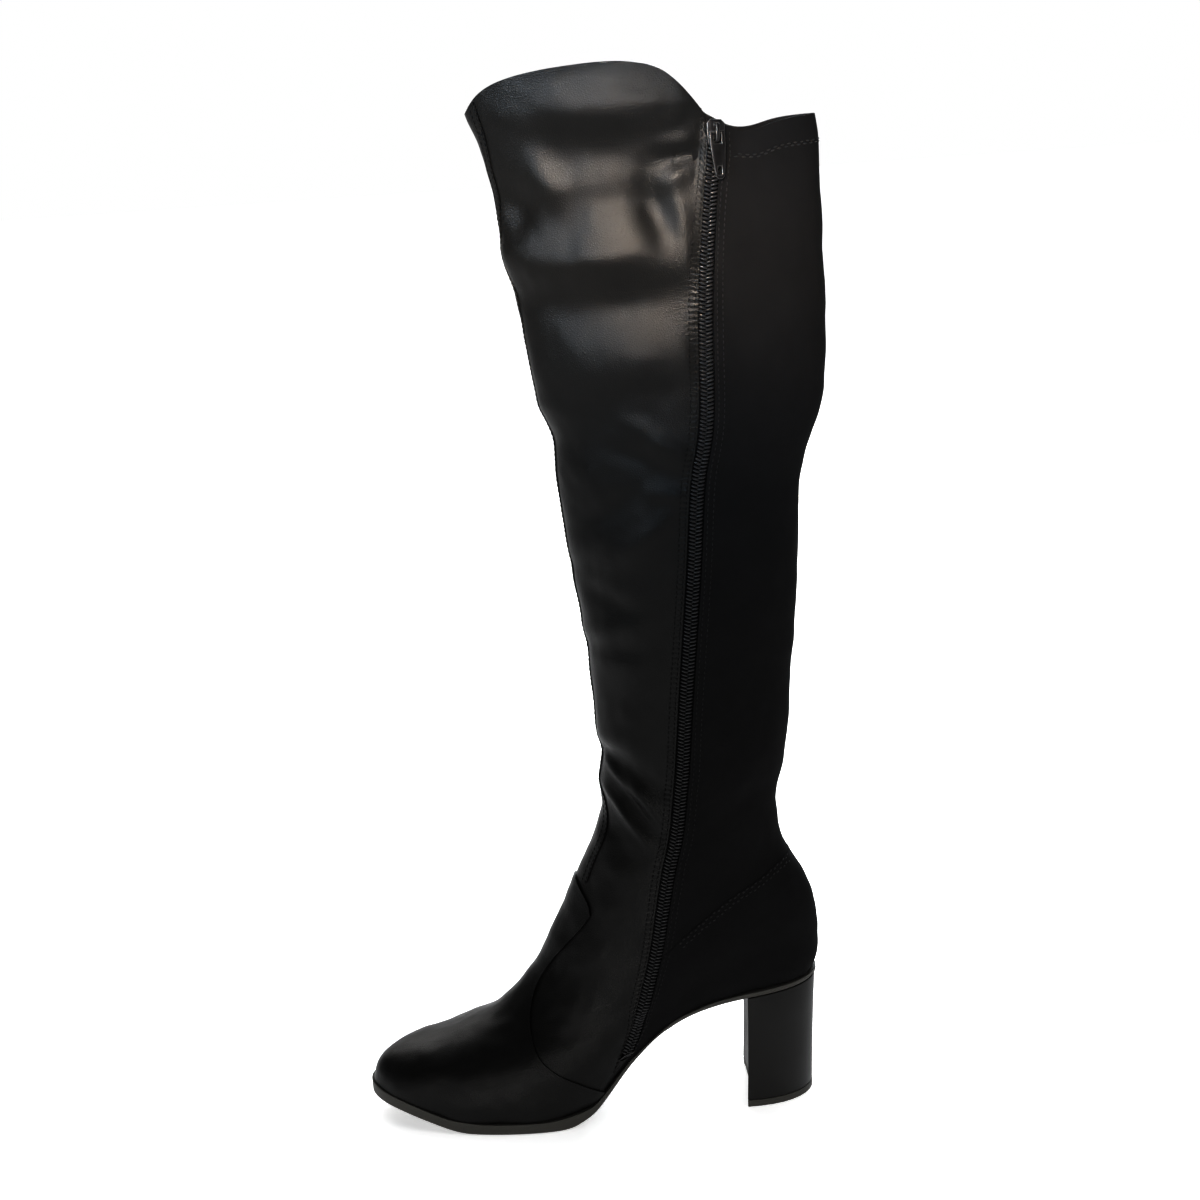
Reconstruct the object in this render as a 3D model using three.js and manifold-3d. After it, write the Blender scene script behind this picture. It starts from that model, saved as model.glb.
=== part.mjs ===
// Knee-high boot with a block heel, for the right foot, standing empty on its sole.
// Millimetres, +Z up, toe towards -X, inner side with the full-length zip towards -Y.
import * as THREE from 'three';
import Module from 'manifold-3d';

const wasm = await Module();
wasm.setup();

// Foot
const footLength = 250; // outsole, toe tip to heel back
const ballWidth = 86; // outsole across the ball
const heelHeight = 69; // floor to the underside of the outsole at the heel back
const toeSpring = 13; // lift of the underside at the toe tip
const soleThickness = 6.3; // outsole at the ball
const soleMargin = 1.8; // outsole past the upper
const edgeRound = 1.2; // chamfer under the outsole's edge
const insoleThickness = 3;
const insoleInset = 1.3; // insole inside the lasted wall
const instepHeight = 138; // top of the outsole at the ball to the front of the ankle
const counterHeight = 81; // top of the heel seat to the back of the ankle

// Leg
const bootHeight = 554; // floor to the peak of the collar
const collarRise = 25.5; // peak of the collar over its front and back
const collarDepth = 170; // front to back at the collar
const collarWidth = 62; // side to side at the collar
const legAxis = 0.256; // of the foot length, from the heel back to the leg's axis
const hemDepth = 14.5; // turned hem of the back panel
const hemStep = 0.8;

// Walls and clearances
const wall = 2; // upper with its lining
const overlayThickness = 0.9; // vamp and counter
const overlayRing = 0.2; // lower edge of the overlays, clear of the outsole
const gap = 0.3; // between curved pieces
const seatGap = 0.7; // upper and insole over the outsole's stepped top

// Heel block
const breastAlong = 0.159; // of the foot length, heel back to the breast
const heelInset = 0.9; // inside the outsole's edge
const heelLean = 3.3; // foot of the block ahead of its top
const breastHollow = 2.5;
const topPieceThickness = 4;

// Zip
const slotWidth = 8; // opening between the two panel edges
const tapeWidth = 24;
const tapeThickness = 1;
const chainWidth = 6;
const chainProud = 0.2; // chain past the skin
const stopWidth = 6.3;
const stopProud = 0.8;

// Slider and pull tab
const sliderLength = 12;
const sliderWidth = 9;
const sliderTail = 7; // width at its lower end
const sliderThickness = 1.6;
const crownLength = 8.8;
const crownWidth = 1.8;
const crownPost = 1.5;
const crownRoof = 1.1;
const crownRoom = 2.6; // clear height under the crown
const pullLength = 22;
const pullTopWidth = 7.6;
const pullTipWidth = 4.6;
const pullBar = 1.2; // thickness of the tab, and of its bar under the crown
const pullWindow = 3.9;
const pullPlay = 6; // degrees, sideways lean of the pull under the crown
const pullSlit = 2;
const pullSlitLength = 4;

// Underside of the outsole, from the heel back to the toe tip, with its thickness.
const soleRows = [
  { along: 0.0, heel: 1.0, toe: 0, thick: 0.48 },
  { along: 0.09, heel: 0.975, toe: 0, thick: 0.48 },
  { along: 0.172, heel: 0.94, toe: 0, thick: 0.48 },
  { along: 0.216, heel: 0.912, toe: 0, thick: 0.48 },
  { along: 0.26, heel: 0.868, toe: 0, thick: 0.48 },
  { along: 0.3, heel: 0.806, toe: 0, thick: 0.48 },
  { along: 0.344, heel: 0.706, toe: 0, thick: 0.49 },
  { along: 0.396, heel: 0.525, toe: 0, thick: 0.53 },
  { along: 0.44, heel: 0.34, toe: 0, thick: 0.6 },
  { along: 0.48, heel: 0.165, toe: 0, thick: 0.72 },
  { along: 0.515, heel: 0.045, toe: 0, thick: 0.86 },
  { along: 0.55, heel: 0.0, toe: 0, thick: 0.97 },
  { along: 0.62, heel: 0.0, toe: 0, thick: 1.0 },
  { along: 0.78, heel: 0.0, toe: 0, thick: 1.0 },
  { along: 0.856, heel: 0.0, toe: 0.36, thick: 1.05 },
  { along: 0.93, heel: 0.0, toe: 0.76, thick: 1.13 },
  { along: 1.0, heel: 0.0, toe: 1.0, thick: 1.2 },
];
const ballAlong = 0.56;

// Sideways bend of the sole, positive to the outer side, of the ball width.
const bowRows = [
  { along: 0.0, bow: 0.0 },
  { along: 0.1, bow: 0.0 },
  { along: 0.22, bow: 0.01 },
  { along: 0.38, bow: 0.028 },
  { along: 0.5, bow: 0.02 },
  { along: 0.66, bow: 0.003 },
  { along: 0.84, bow: -0.01 },
  { along: 1.0, bow: -0.05 },
];

// Rings of the upper from its lasted edge to the ankle. front and back are of the foot length,
// rise of the instep height, lift of the counter height, the widths of the ball width.
const footRows = [
  { ring: 0, front: 0.99, rise: 0.0, back: 0.01, lift: 0.0, sag: 1.0,
    nose: 0.535, fore: 0.523, mid: 0.483, waist: 0.338, seat: 0.376, tail: 0.546 },
  { ring: 1, front: 0.986, rise: 0.038, back: 0.002, lift: 0.06, sag: 0.95,
    nose: 0.552, fore: 0.541, mid: 0.5, waist: 0.36, seat: 0.388, tail: 0.558 },
  { ring: 3, front: 0.958, rise: 0.106, back: -0.004, lift: 0.197, sag: 0.75,
    nose: 0.512, fore: 0.517, mid: 0.488, waist: 0.378, seat: 0.388, tail: 0.529 },
  { ring: 5, front: 0.876, rise: 0.193, back: -0.003, lift: 0.358, sag: 0.52,
    nose: 0.465, fore: 0.471, mid: 0.448, waist: 0.395, seat: 0.39, tail: 0.494 },
  { ring: 7, front: 0.736, rise: 0.322, back: 0.006, lift: 0.53, sag: 0.35,
    nose: 0.384, fore: 0.419, mid: 0.407, waist: 0.39, seat: 0.395, tail: 0.465 },
  { ring: 9, front: 0.618, rise: 0.516, back: 0.022, lift: 0.68, sag: 0.22,
    nose: 0.326, fore: 0.39, mid: 0.393, waist: 0.378, seat: 0.39, tail: 0.419 },
  { ring: 11, front: 0.548, rise: 0.766, back: 0.048, lift: 0.827, sag: 0.12,
    nose: 0.314, fore: 0.378, mid: 0.384, waist: 0.372, seat: 0.372, tail: 0.384 },
  { ring: 13, front: 0.488, rise: 1.0, back: 0.07, lift: 1.0, sag: 0.05,
    nose: 0.314, fore: 0.366, mid: 0.378, waist: 0.372, seat: 0.36, tail: 0.349 },
];

// Rings of the leg from the ankle to the collar. front and back are of the collar depth from the
// leg's axis, rise and lift of the height left to the collar, the widths of the collar width.
const legRows = [
  { ring: 15, front: 0.276, rise: 0.07, back: 0.271, lift: 0.048,
    nose: 0.435, fore: 0.508, mid: 0.524, waist: 0.524, seat: 0.5, tail: 0.468 },
  { ring: 17, front: 0.271, rise: 0.15, back: 0.312, lift: 0.117,
    nose: 0.45, fore: 0.516, mid: 0.54, waist: 0.54, seat: 0.508, tail: 0.468 },
  { ring: 20, front: 0.288, rise: 0.309, back: 0.344, lift: 0.277,
    nose: 0.45, fore: 0.54, mid: 0.58, waist: 0.58, seat: 0.532, tail: 0.468 },
  { ring: 23, front: 0.332, rise: 0.455, back: 0.379, lift: 0.424,
    nose: 0.45, fore: 0.548, mid: 0.597, waist: 0.597, seat: 0.532, tail: 0.45 },
  { ring: 25, front: 0.341, rise: 0.541, back: 0.385, lift: 0.512,
    nose: 0.44, fore: 0.54, mid: 0.588, waist: 0.588, seat: 0.524, tail: 0.44 },
  { ring: 26, front: 0.347, rise: 0.58, back: 0.415, lift: 0.552,
    nose: 0.435, fore: 0.532, mid: 0.58, waist: 0.58, seat: 0.516, tail: 0.435 },
  { ring: 27.3, front: 0.371, rise: 0.632, back: 0.459, lift: 0.6,
    nose: 0.43, fore: 0.52, mid: 0.564, waist: 0.564, seat: 0.504, tail: 0.427 },
  { ring: 29, front: 0.397, rise: 0.702, back: 0.484, lift: 0.671,
    nose: 0.427, fore: 0.508, mid: 0.548, waist: 0.548, seat: 0.492, tail: 0.42 },
  { ring: 31, front: 0.432, rise: 0.786, back: 0.488, lift: 0.754,
    nose: 0.423, fore: 0.496, mid: 0.532, waist: 0.532, seat: 0.48, tail: 0.411 },
  { ring: 33, front: 0.459, rise: 0.877, back: 0.484, lift: 0.839,
    nose: 0.42, fore: 0.484, mid: 0.516, waist: 0.516, seat: 0.468, tail: 0.403 },
  { ring: 35, front: 0.497, rise: 0.965, back: 0.481, lift: 0.933,
    nose: 0.41, fore: 0.473, mid: 0.505, waist: 0.505, seat: 0.457, tail: 0.392 },
  { ring: 36, front: 0.532, rise: 1.012, back: 0.468, lift: 0.986,
    nose: 0.403, fore: 0.468, mid: 0.5, waist: 0.5, seat: 0.452, tail: 0.387 },
];
const collarRing = 36;
const widthColumns = ['nose', 'fore', 'mid', 'waist', 'seat', 'tail'];

// Height of the collar line round the leg, way from front (0) to back (1), of the collar rise.
const collarRows = [
  { way: 0.0, lift: 0.0 },
  { way: 0.05, lift: 0.45 },
  { way: 0.12, lift: 0.68 },
  { way: 0.24, lift: 0.86 },
  { way: 0.45, lift: 1.0 },
  { way: 0.56, lift: 0.94 },
  { way: 0.61, lift: 0.72 },
  { way: 0.65, lift: 0.35 },
  { way: 0.69, lift: 0.0 },
  { way: 0.78, lift: -0.21 },
  { way: 0.88, lift: -0.1 },
  { way: 1.0, lift: 0.0 },
];
const collarFadeRows = [
  { ring: 27, fade: 0.0 },
  { ring: 29, fade: 0.05 },
  { ring: 31, fade: 0.2 },
  { ring: 33, fade: 0.45 },
  { ring: 35, fade: 0.85 },
  { ring: 36, fade: 1.0 },
];

// Zip line, way from the front (0) to the back (1) of each ring.
const zipRows = [
  { ring: 0, way: 0.555 },
  { ring: 1, way: 0.565 },
  { ring: 3, way: 0.58 },
  { ring: 5, way: 0.555 },
  { ring: 7, way: 0.491 },
  { ring: 9, way: 0.445 },
  { ring: 11, way: 0.437 },
  { ring: 15, way: 0.43 },
  { ring: 17, way: 0.434 },
  { ring: 20, way: 0.486 },
  { ring: 23, way: 0.546 },
  { ring: 26, way: 0.578 },
  { ring: 29, way: 0.588 },
  { ring: 33, way: 0.644 },
  { ring: 36, way: 0.709 },
];
const zipBottomRing = 1;
const stopRings = [1.12, 1.5];
const chainRings = [1.6, 35.85];
const sliderRing = 35.66;

// Seam of the vamp from the sole up to the front of the ankle, seen from the side. along is of
// the foot length, up of the instep height over the floor.
const vampRows = [
  { along: 0.462, up: 0.11 },
  { along: 0.526, up: 0.188 },
  { along: 0.604, up: 0.286 },
  { along: 0.628, up: 0.4 },
  { along: 0.614, up: 0.52 },
  { along: 0.566, up: 0.652 },
  { along: 0.512, up: 0.766 },
  { along: 0.487, up: 0.83 },
  { along: 0.486, up: 0.88 },
  { along: 0.515, up: 0.96 },
];

// Seam of the counter from the zip to the heel back. up is of the counter height over the seat.
const counterRows = [
  { along: 0.33, up: 0.29 },
  { along: 0.297, up: 0.39 },
  { along: 0.233, up: 0.548 },
  { along: 0.178, up: 0.668 },
  { along: 0.124, up: 0.748 },
  { along: 0.064, up: 0.834 },
  { along: -0.03, up: 0.87 },
];

// Section of the heel block from its top to its foot, and the ways across a sole.
const heelRows = [
  { down: 0.0, scale: 1.0 },
  { down: 0.3, scale: 0.978 },
  { down: 0.65, scale: 0.966 },
  { down: 1.0, scale: 0.97 },
];
const acrossShares = [0, 0.1, 0.5, 0.9, 1];

// Columns of the mesh between the front, the zip and the back on each side.
const frontColumns = 9;
const backColumns = 7;
const heelColumns = 9;

// Value of a table's column, by a smooth curve that never passes its rows.
function read(rows, key, column, place) {
  const last = rows.length - 1;
  const at = THREE.MathUtils.clamp(place, rows[0][key], rows[last][key]);
  let low = 0;
  while (low < last - 1 && at > rows[low + 1][key]) {
    low += 1;
  }
  const slope = (i) => (rows[i + 1][column] - rows[i][column]) / (rows[i + 1][key] - rows[i][key]);
  const tangent = (i) => {
    if (i === 0) {
      return slope(0);
    }
    if (i === last) {
      return slope(last - 1);
    }
    const before = slope(i - 1);
    const after = slope(i);
    return before * after <= 0 ? 0 : (2 * before * after) / (before + after);
  };
  const span = rows[low + 1][key] - rows[low][key];
  const t = (at - rows[low][key]) / span;
  const rest = 1 - t;
  return rows[low][column] * rest * rest * (1 + 2 * t)
    + rows[low + 1][column] * t * t * (3 - 2 * t)
    + tangent(low) * span * t * rest * rest
    - tangent(low + 1) * span * t * t * rest;
}

// Outsole's underside and top over the floor, at a place along the foot.
function soleUnder(along) {
  return read(soleRows, 'along', 'heel', along) * heelHeight
    + read(soleRows, 'along', 'toe', along) * toeSpring;
}

function soleTop(along) {
  return soleUnder(along) + read(soleRows, 'along', 'thick', along) * soleThickness;
}

function bow(along) {
  return read(bowRows, 'along', 'bow', along) * ballWidth;
}

// All rings in millimetres, x from the heel back.
function ringTable() {
  const widths = (row, size) => Object.fromEntries(widthColumns.map((name) => [name, row[name] * size]));
  const seat = soleTop(0) + seatGap;
  const foot = footRows.map((row) => ({
    ring: row.ring,
    frontX: -row.front * footLength,
    frontZ: soleTop(Math.max(row.front, ballAlong)) + seatGap + row.rise * instepHeight,
    backX: -row.back * footLength,
    backZ: seat + row.lift * counterHeight,
    sag: row.sag,
    ...widths(row, ballWidth),
  }));
  const ankle = foot[foot.length - 1];
  const collar = bootHeight - collarRise;
  const leg = legRows.map((row) => ({
    ring: row.ring,
    frontX: -legAxis * footLength - row.front * collarDepth,
    frontZ: THREE.MathUtils.lerp(ankle.frontZ, collar, row.rise),
    backX: -legAxis * footLength + row.back * collarDepth,
    backZ: THREE.MathUtils.lerp(ankle.backZ, collar, row.lift),
    sag: 0,
    ...widths(row, collarWidth),
  }));
  return [...foot, ...leg];
}
const rings = ringTable();

// One ring's ends, sag and widths, kept once worked out.
const ringStore = new Map();
function ringAt(ring) {
  if (!ringStore.has(ring)) {
    const names = ['frontX', 'frontZ', 'backX', 'backZ', 'sag'];
    const found = Object.fromEntries(names.map((name) => [name, read(rings, 'ring', name, ring)]));
    found.widths = widthColumns.map((name, i) => ({
      way: i / (widthColumns.length - 1),
      half: read(rings, 'ring', name, ring),
    }));
    found.collar = read(collarFadeRows, 'ring', 'fade', ring) * collarRise;
    found.bend = 1 - THREE.MathUtils.smoothstep(ring, 3, 13);
    ringStore.set(ring, found);
  }
  return ringStore.get(ring);
}

// How far the sole's top lies from the straight line between the ends of the lasted edge.
function sagAt(way) {
  const edge = ringAt(0);
  const x = THREE.MathUtils.lerp(edge.frontX, edge.backX, way);
  return soleTop(-x / footLength) + seatGap - THREE.MathUtils.lerp(edge.frontZ, edge.backZ, way);
}

// Point of the boot's skin. turn runs from the front (0) over the inner side to the back (pi)
// and over the outer side on to the front again.
function skinPoint(ring, turn) {
  const size = ringAt(ring);
  const way = (1 - Math.cos(turn)) / 2;
  const x = THREE.MathUtils.lerp(size.frontX, size.backX, way);
  const z = THREE.MathUtils.lerp(size.frontZ, size.backZ, way) + size.sag * sagAt(way)
    + size.collar * read(collarRows, 'way', 'lift', way);
  const y = -Math.sin(turn) * read(size.widths, 'way', 'half', way)
    + size.bend * bow(-x / footLength);
  return new THREE.Vector3(x, y, z);
}

const nudge = 0.01;
function alongRing(ring, turn) {
  return skinPoint(ring, turn + nudge).sub(skinPoint(ring, turn - nudge)).divideScalar(2 * nudge);
}

function upSkin(ring, turn) {
  const low = Math.max(ring - nudge, 0);
  const high = Math.min(ring + nudge, collarRing);
  return skinPoint(high, turn).sub(skinPoint(low, turn));
}

// Outward direction. The lasted edge keeps its offsets level, so that it sits on the sole.
function outward(ring, turn) {
  const across = alongRing(ring, turn);
  if (ring <= overlayRing) {
    return new THREE.Vector3(across.y, -across.x, 0).normalize();
  }
  return across.cross(upSkin(ring, turn)).normalize();
}

function skin(ring, turn, out) {
  return skinPoint(ring, turn).addScaledVector(outward(ring, turn), out);
}

// Turn that lies a distance from the zip line, positive towards the back.
function zipTurn(ring, distance) {
  const turn = Math.acos(1 - 2 * read(zipRows, 'ring', 'way', ring));
  return turn + distance / alongRing(ring, turn).length();
}

// Turns of the mesh columns on the inner side, and round the whole ring.
function innerTurns(ring) {
  const turns = [];
  const before = zipTurn(ring, -tapeWidth);
  const after = zipTurn(ring, tapeWidth / 2);
  for (let i = 0; i <= frontColumns; i += 1) {
    turns.push((before * i) / frontColumns);
  }
  turns.push(zipTurn(ring, -tapeWidth / 2));
  turns.push(zipTurn(ring, -slotWidth / 2), zipTurn(ring, slotWidth / 2));
  for (let i = 0; i <= backColumns; i += 1) {
    turns.push(after + ((Math.PI - after) * i) / backColumns);
  }
  return turns;
}

function allTurns(ring) {
  const inner = innerTurns(ring);
  const outer = inner.slice(1, -1).reverse().map((turn) => 2 * Math.PI - turn);
  return [...inner, ...outer];
}
const slotColumn = frontColumns + 2;
const roundColumns = 2 * (frontColumns + backColumns + 4);
const hemColumns = [slotColumn + 2, roundColumns - slotColumn - 2];
const hemRing = collarRing - hemDepth / (skinPoint(collarRing, Math.PI).z - skinPoint(35, Math.PI).z);
const hemEdge = 0.06; // of a ring, under the hem's stitched edge

// Closed geometry from points and triangles, with equal points joined and slivers left out.
function solid(points, triangles) {
  const keys = new Map();
  const positions = [];
  const joined = points.map((point) => {
    const key = point.toArray().map((value) => Math.round(value * 2000)).join(' ');
    if (!keys.has(key)) {
      keys.set(key, positions.length / 3);
      positions.push(...point.toArray());
    }
    return keys.get(key);
  });
  const index = [];
  for (let i = 0; i < triangles.length; i += 3) {
    const [a, b, c] = triangles.slice(i, i + 3).map((corner) => joined[corner]);
    if (a !== b && b !== c && c !== a) {
      index.push(a, b, c);
    }
  }
  const geometry = new THREE.BufferGeometry();
  geometry.setAttribute('position', new THREE.Float32BufferAttribute(positions, 3));
  geometry.setIndex(index);
  return geometry;
}

// Shell between two grids of points, rows upwards and columns round the boot. A cell left out
// opens a hole through both grids, and each free side of a cell gets its wall.
function shell(outer, inner, wraps, missing = () => false) {
  const rows = outer.length;
  const columns = outer[0].length;
  const cells = wraps ? columns : columns - 1;
  const points = [...outer.flat(), ...inner.flat()];
  const triangles = [];
  const at = (layer, i, j) => layer * rows * columns + i * columns + (j % columns);
  const quad = (a, b, c, d) => triangles.push(a, b, c, a, c, d);
  const present = (i, j) => {
    const column = wraps ? (j + cells) % cells : j;
    return i >= 0 && i < rows - 1 && column >= 0 && column < cells && !missing(i, column);
  };
  const wallBetween = (i, j, k, l) => quad(at(0, i, j), at(1, i, j), at(1, k, l), at(0, k, l));
  for (let i = 0; i < rows - 1; i += 1) {
    for (let j = 0; j < cells; j += 1) {
      if (present(i, j)) {
        quad(at(0, i, j), at(0, i, j + 1), at(0, i + 1, j + 1), at(0, i + 1, j));
        quad(at(1, i, j), at(1, i + 1, j), at(1, i + 1, j + 1), at(1, i, j + 1));
        if (!present(i - 1, j)) {
          wallBetween(i, j, i, j + 1);
        }
        if (!present(i, j + 1)) {
          wallBetween(i, j + 1, i + 1, j + 1);
        }
        if (!present(i + 1, j)) {
          wallBetween(i + 1, j + 1, i + 1, j);
        }
        if (!present(i, j - 1)) {
          wallBetween(i + 1, j, i, j);
        }
      }
    }
  }
  return solid(points, triangles);
}

// Slab from layers of cross rows, the top layer first, rows from toe to heel and points in a row
// from the inner to the outer side.
function slab(layers) {
  const rows = layers[0].length;
  const width = layers[0][0].length;
  const points = layers.flat(2);
  const triangles = [];
  const at = (layer, i, m) => (layer * rows + i) * width + m;
  const quad = (a, b, c, d) => triangles.push(a, b, c, a, c, d);
  const bottom = layers.length - 1;
  for (let i = 0; i < rows - 1; i += 1) {
    for (let m = 0; m < width - 1; m += 1) {
      quad(at(0, i, m), at(0, i + 1, m), at(0, i + 1, m + 1), at(0, i, m + 1));
      quad(at(bottom, i, m), at(bottom, i, m + 1), at(bottom, i + 1, m + 1), at(bottom, i + 1, m));
    }
  }
  const loop = [];
  for (let i = 0; i < rows; i += 1) {
    loop.push([i, 0]);
  }
  for (let m = 1; m < width; m += 1) {
    loop.push([rows - 1, m]);
  }
  for (let i = rows - 2; i >= 0; i -= 1) {
    loop.push([i, width - 1]);
  }
  for (let m = width - 2; m > 0; m -= 1) {
    loop.push([0, m]);
  }
  for (let layer = 0; layer < bottom; layer += 1) {
    loop.forEach(([i, m], step) => {
      const [k, n] = loop[(step + 1) % loop.length];
      quad(at(layer + 1, i, m), at(layer + 1, k, n), at(layer, k, n), at(layer, i, m));
    });
  }
  return solid(points, triangles);
}

function toManifold(geometry) {
  return new wasm.Manifold(new wasm.Mesh({
    numProp: 3,
    vertProperties: new Float32Array(geometry.getAttribute('position').array),
    triVerts: new Uint32Array(geometry.getIndex().array),
  }));
}

function fromManifold(body) {
  const mesh = body.getMesh();
  const geometry = new THREE.BufferGeometry();
  geometry.setAttribute('position', new THREE.Float32BufferAttribute(mesh.vertProperties, 3));
  geometry.setIndex(Array.from(mesh.triVerts));
  return geometry;
}

// Extruded shapes carry split corners, so they are joined before a boolean.
function joined(geometry) {
  const flat = geometry.getAttribute('position');
  const points = [];
  for (let i = 0; i < flat.count; i += 1) {
    points.push(new THREE.Vector3().fromBufferAttribute(flat, i));
  }
  return solid(points, points.map((point, i) => i));
}

// Rows of the mesh from the sole to the collar.
const gridRings = [
  0, 1, 2, 3, 4, 5, 6, 7, 8, 9, 10, 11, 12, 13, 14, 15, 16, 17, 18.5, 20, 21.5, 23, 24.5, 25.5,
  26.3, 27.1, 28, 29.5, 31, 32.5, 34, hemRing - hemEdge, hemRing, collarRing,
];

// Skin grid at an offset, with the hem's step on the back panel where it is asked for.
function skinGrid(ringList, out, step) {
  return ringList.map((ring) => allTurns(ring).map((turn, column) => {
    const onHem = ring >= hemRing && column >= hemColumns[0] && column <= hemColumns[1];
    return skin(ring, turn, onHem ? out + step : out);
  }));
}

// The upper: foot, leg, collar and the slot for the zip, in one hollow wall.
function upperGeometry() {
  const zipRow = gridRings.indexOf(zipBottomRing);
  const inSlot = (row, column) => row >= zipRow && column === slotColumn;
  return shell(skinGrid(gridRings, 0, hemStep), skinGrid(gridRings, -wall, 0), true, inSlot);
}

// An overlay is a thin skin over the upper, cut by a side outline carried across the boot.
function overlayGeometry(outline, topRing) {
  const ringList = [overlayRing, ...gridRings.filter((ring) => ring > 0 && ring <= topRing)];
  const band = shell(
    skinGrid(ringList, gap + overlayThickness, 0), skinGrid(ringList, gap, 0), true,
  );
  const cutter = new THREE.ExtrudeGeometry(new THREE.Shape(outline), {
    depth: 2 * ballWidth, bevelEnabled: false,
  });
  cutter.rotateX(Math.PI / 2);
  cutter.translate(0, ballWidth, 0);
  return fromManifold(toManifold(band).intersect(toManifold(joined(cutter))));
}

function seamCurve(rows, toPoint, steps) {
  return new THREE.SplineCurve(rows.map(toPoint)).getPoints(steps);
}

function vampOutline() {
  const seam = seamCurve(
    vampRows, (row) => new THREE.Vector2(-row.along * footLength, row.up * instepHeight), 24,
  );
  const ahead = -1.2 * footLength;
  return [
    ...seam,
    new THREE.Vector2(-0.6 * footLength, 1.2 * instepHeight),
    new THREE.Vector2(ahead, 1.2 * instepHeight),
    new THREE.Vector2(ahead, -soleThickness),
    new THREE.Vector2(seam[0].x, -soleThickness),
  ].reverse();
}

function counterOutline() {
  const seat = soleTop(0);
  const seam = seamCurve(
    counterRows, (row) => new THREE.Vector2(-row.along * footLength, seat + row.up * counterHeight), 12,
  );
  const front = [];
  for (let ring = 0; ring <= 6; ring += 1) {
    const point = skinPoint(ring, zipTurn(ring, slotWidth / 2 + overlayThickness));
    front.push(new THREE.Vector2(point.x, point.z));
  }
  const meets = seam.filter((point) => point.x > front[6].x + 1);
  const behind = 0.2 * footLength;
  return [
    new THREE.Vector2(front[0].x, 0),
    new THREE.Vector2(behind, 0),
    new THREE.Vector2(behind, seam[seam.length - 1].y),
    ...meets.reverse(),
    ...front.reverse(),
  ];
}

// Plan point of the outsole's edge at a turn, moved outwards.
function edgePoint(turn, grow) {
  const at = skin(0, turn, grow);
  return new THREE.Vector2(at.x, at.y);
}

// Cross rows of a sole-shaped sheet, grown from the lasted edge, at a height over the foot.
function soleRowsAt(turns, grow, height) {
  return turns.map((turn) => {
    const inner = edgePoint(turn, grow);
    const outer = edgePoint(-turn, grow);
    return acrossShares.map((share) => {
      const point = inner.clone().lerp(outer, share);
      return new THREE.Vector3(point.x, point.y, height(-point.x / footLength));
    });
  });
}

// Turns of the cross rows of the sole, at the upper's columns and halfway between them.
function soleTurns() {
  return innerTurns(0).flatMap((turn, i, turns) => (i ? [(turns[i - 1] + turn) / 2, turn] : [turn]));
}

// Sole's top in straight steps between the columns of the lasted edge, which is stepped alike.
const seatSteps = innerTurns(0).map((turn) => -skinPoint(0, turn).x / footLength);
function seatTop(along) {
  const next = seatSteps.findIndex((step) => step <= along);
  if (next < 1) {
    return soleTop(along);
  }
  const share = (along - seatSteps[next]) / (seatSteps[next - 1] - seatSteps[next]);
  return THREE.MathUtils.lerp(soleTop(seatSteps[next]), soleTop(seatSteps[next - 1]), share);
}

function outsoleGeometry() {
  const turns = soleTurns();
  return slab([
    soleRowsAt(turns, soleMargin, seatTop),
    soleRowsAt(turns, soleMargin, (along) => soleUnder(along) + edgeRound),
    soleRowsAt(turns, soleMargin - edgeRound, soleUnder),
  ]);
}

function insoleGeometry() {
  const turns = soleTurns();
  const inset = -wall - insoleInset;
  return slab([
    soleRowsAt(turns, inset, (along) => seatTop(along) + seatGap + insoleThickness),
    soleRowsAt(turns, inset, (along) => seatTop(along) + seatGap),
  ]);
}

// Heel section from the breast to the back, at a share of the way down the block.
function heelLayer(down, height) {
  const edge = ringAt(0);
  const breastX = -breastAlong * footLength;
  const firstTurn = Math.acos(1 - (2 * (breastX - edge.frontX)) / (edge.backX - edge.frontX));
  const scale = read(heelRows, 'down', 'scale', down);
  const middle = breastX / 2;
  const rows = [];
  for (let i = 0; i <= heelColumns; i += 1) {
    const turn = firstTurn + ((Math.PI - firstTurn) * i) / heelColumns;
    const inner = edgePoint(turn, soleMargin - heelInset);
    const outer = edgePoint(-turn, soleMargin - heelInset);
    const hollow = breastHollow * (1 - i / heelColumns) ** 4;
    rows.push(acrossShares.map((share) => {
      const point = inner.clone().lerp(outer, share);
      const inward = hollow * 4 * share * (1 - share);
      const x = middle + (point.x + inward - middle) * scale - heelLean * down;
      return new THREE.Vector3(x, point.y * scale, height(-(point.x + inward) / footLength));
    }));
  }
  return rows;
}

function heelGeometry() {
  const foot = topPieceThickness + gap;
  return slab(heelRows.map((row) => heelLayer(row.down, (along) => (
    THREE.MathUtils.lerp(soleUnder(along) - gap, foot, row.down)
  ))));
}

function topPieceGeometry() {
  return slab([heelLayer(1, () => topPieceThickness), heelLayer(1, () => 0)]);
}

// A strip laid along the zip line between two rings, at distances across and out of the skin.
function zipStrip(fromRing, toRing, halfWidth, low, high) {
  const inside = gridRings.filter((ring) => ring > fromRing && ring < toRing && ring !== hemRing);
  const ringList = [fromRing, ...inside, toRing];
  const across = [-halfWidth, -Math.min(halfWidth, slotWidth / 2), 0,
    Math.min(halfWidth, slotWidth / 2), halfWidth];
  const places = [...new Set(across)];
  const grid = (out) => ringList.map((ring) => places.map((distance) => (
    skin(ring, zipTurn(ring, distance), out)
  )));
  return shell(grid(high), grid(low), false);
}

function tapeGeometry() {
  const outer = -wall - gap;
  return zipStrip(stopRings[0], chainRings[1], tapeWidth / 2, outer - tapeThickness, outer);
}

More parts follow.
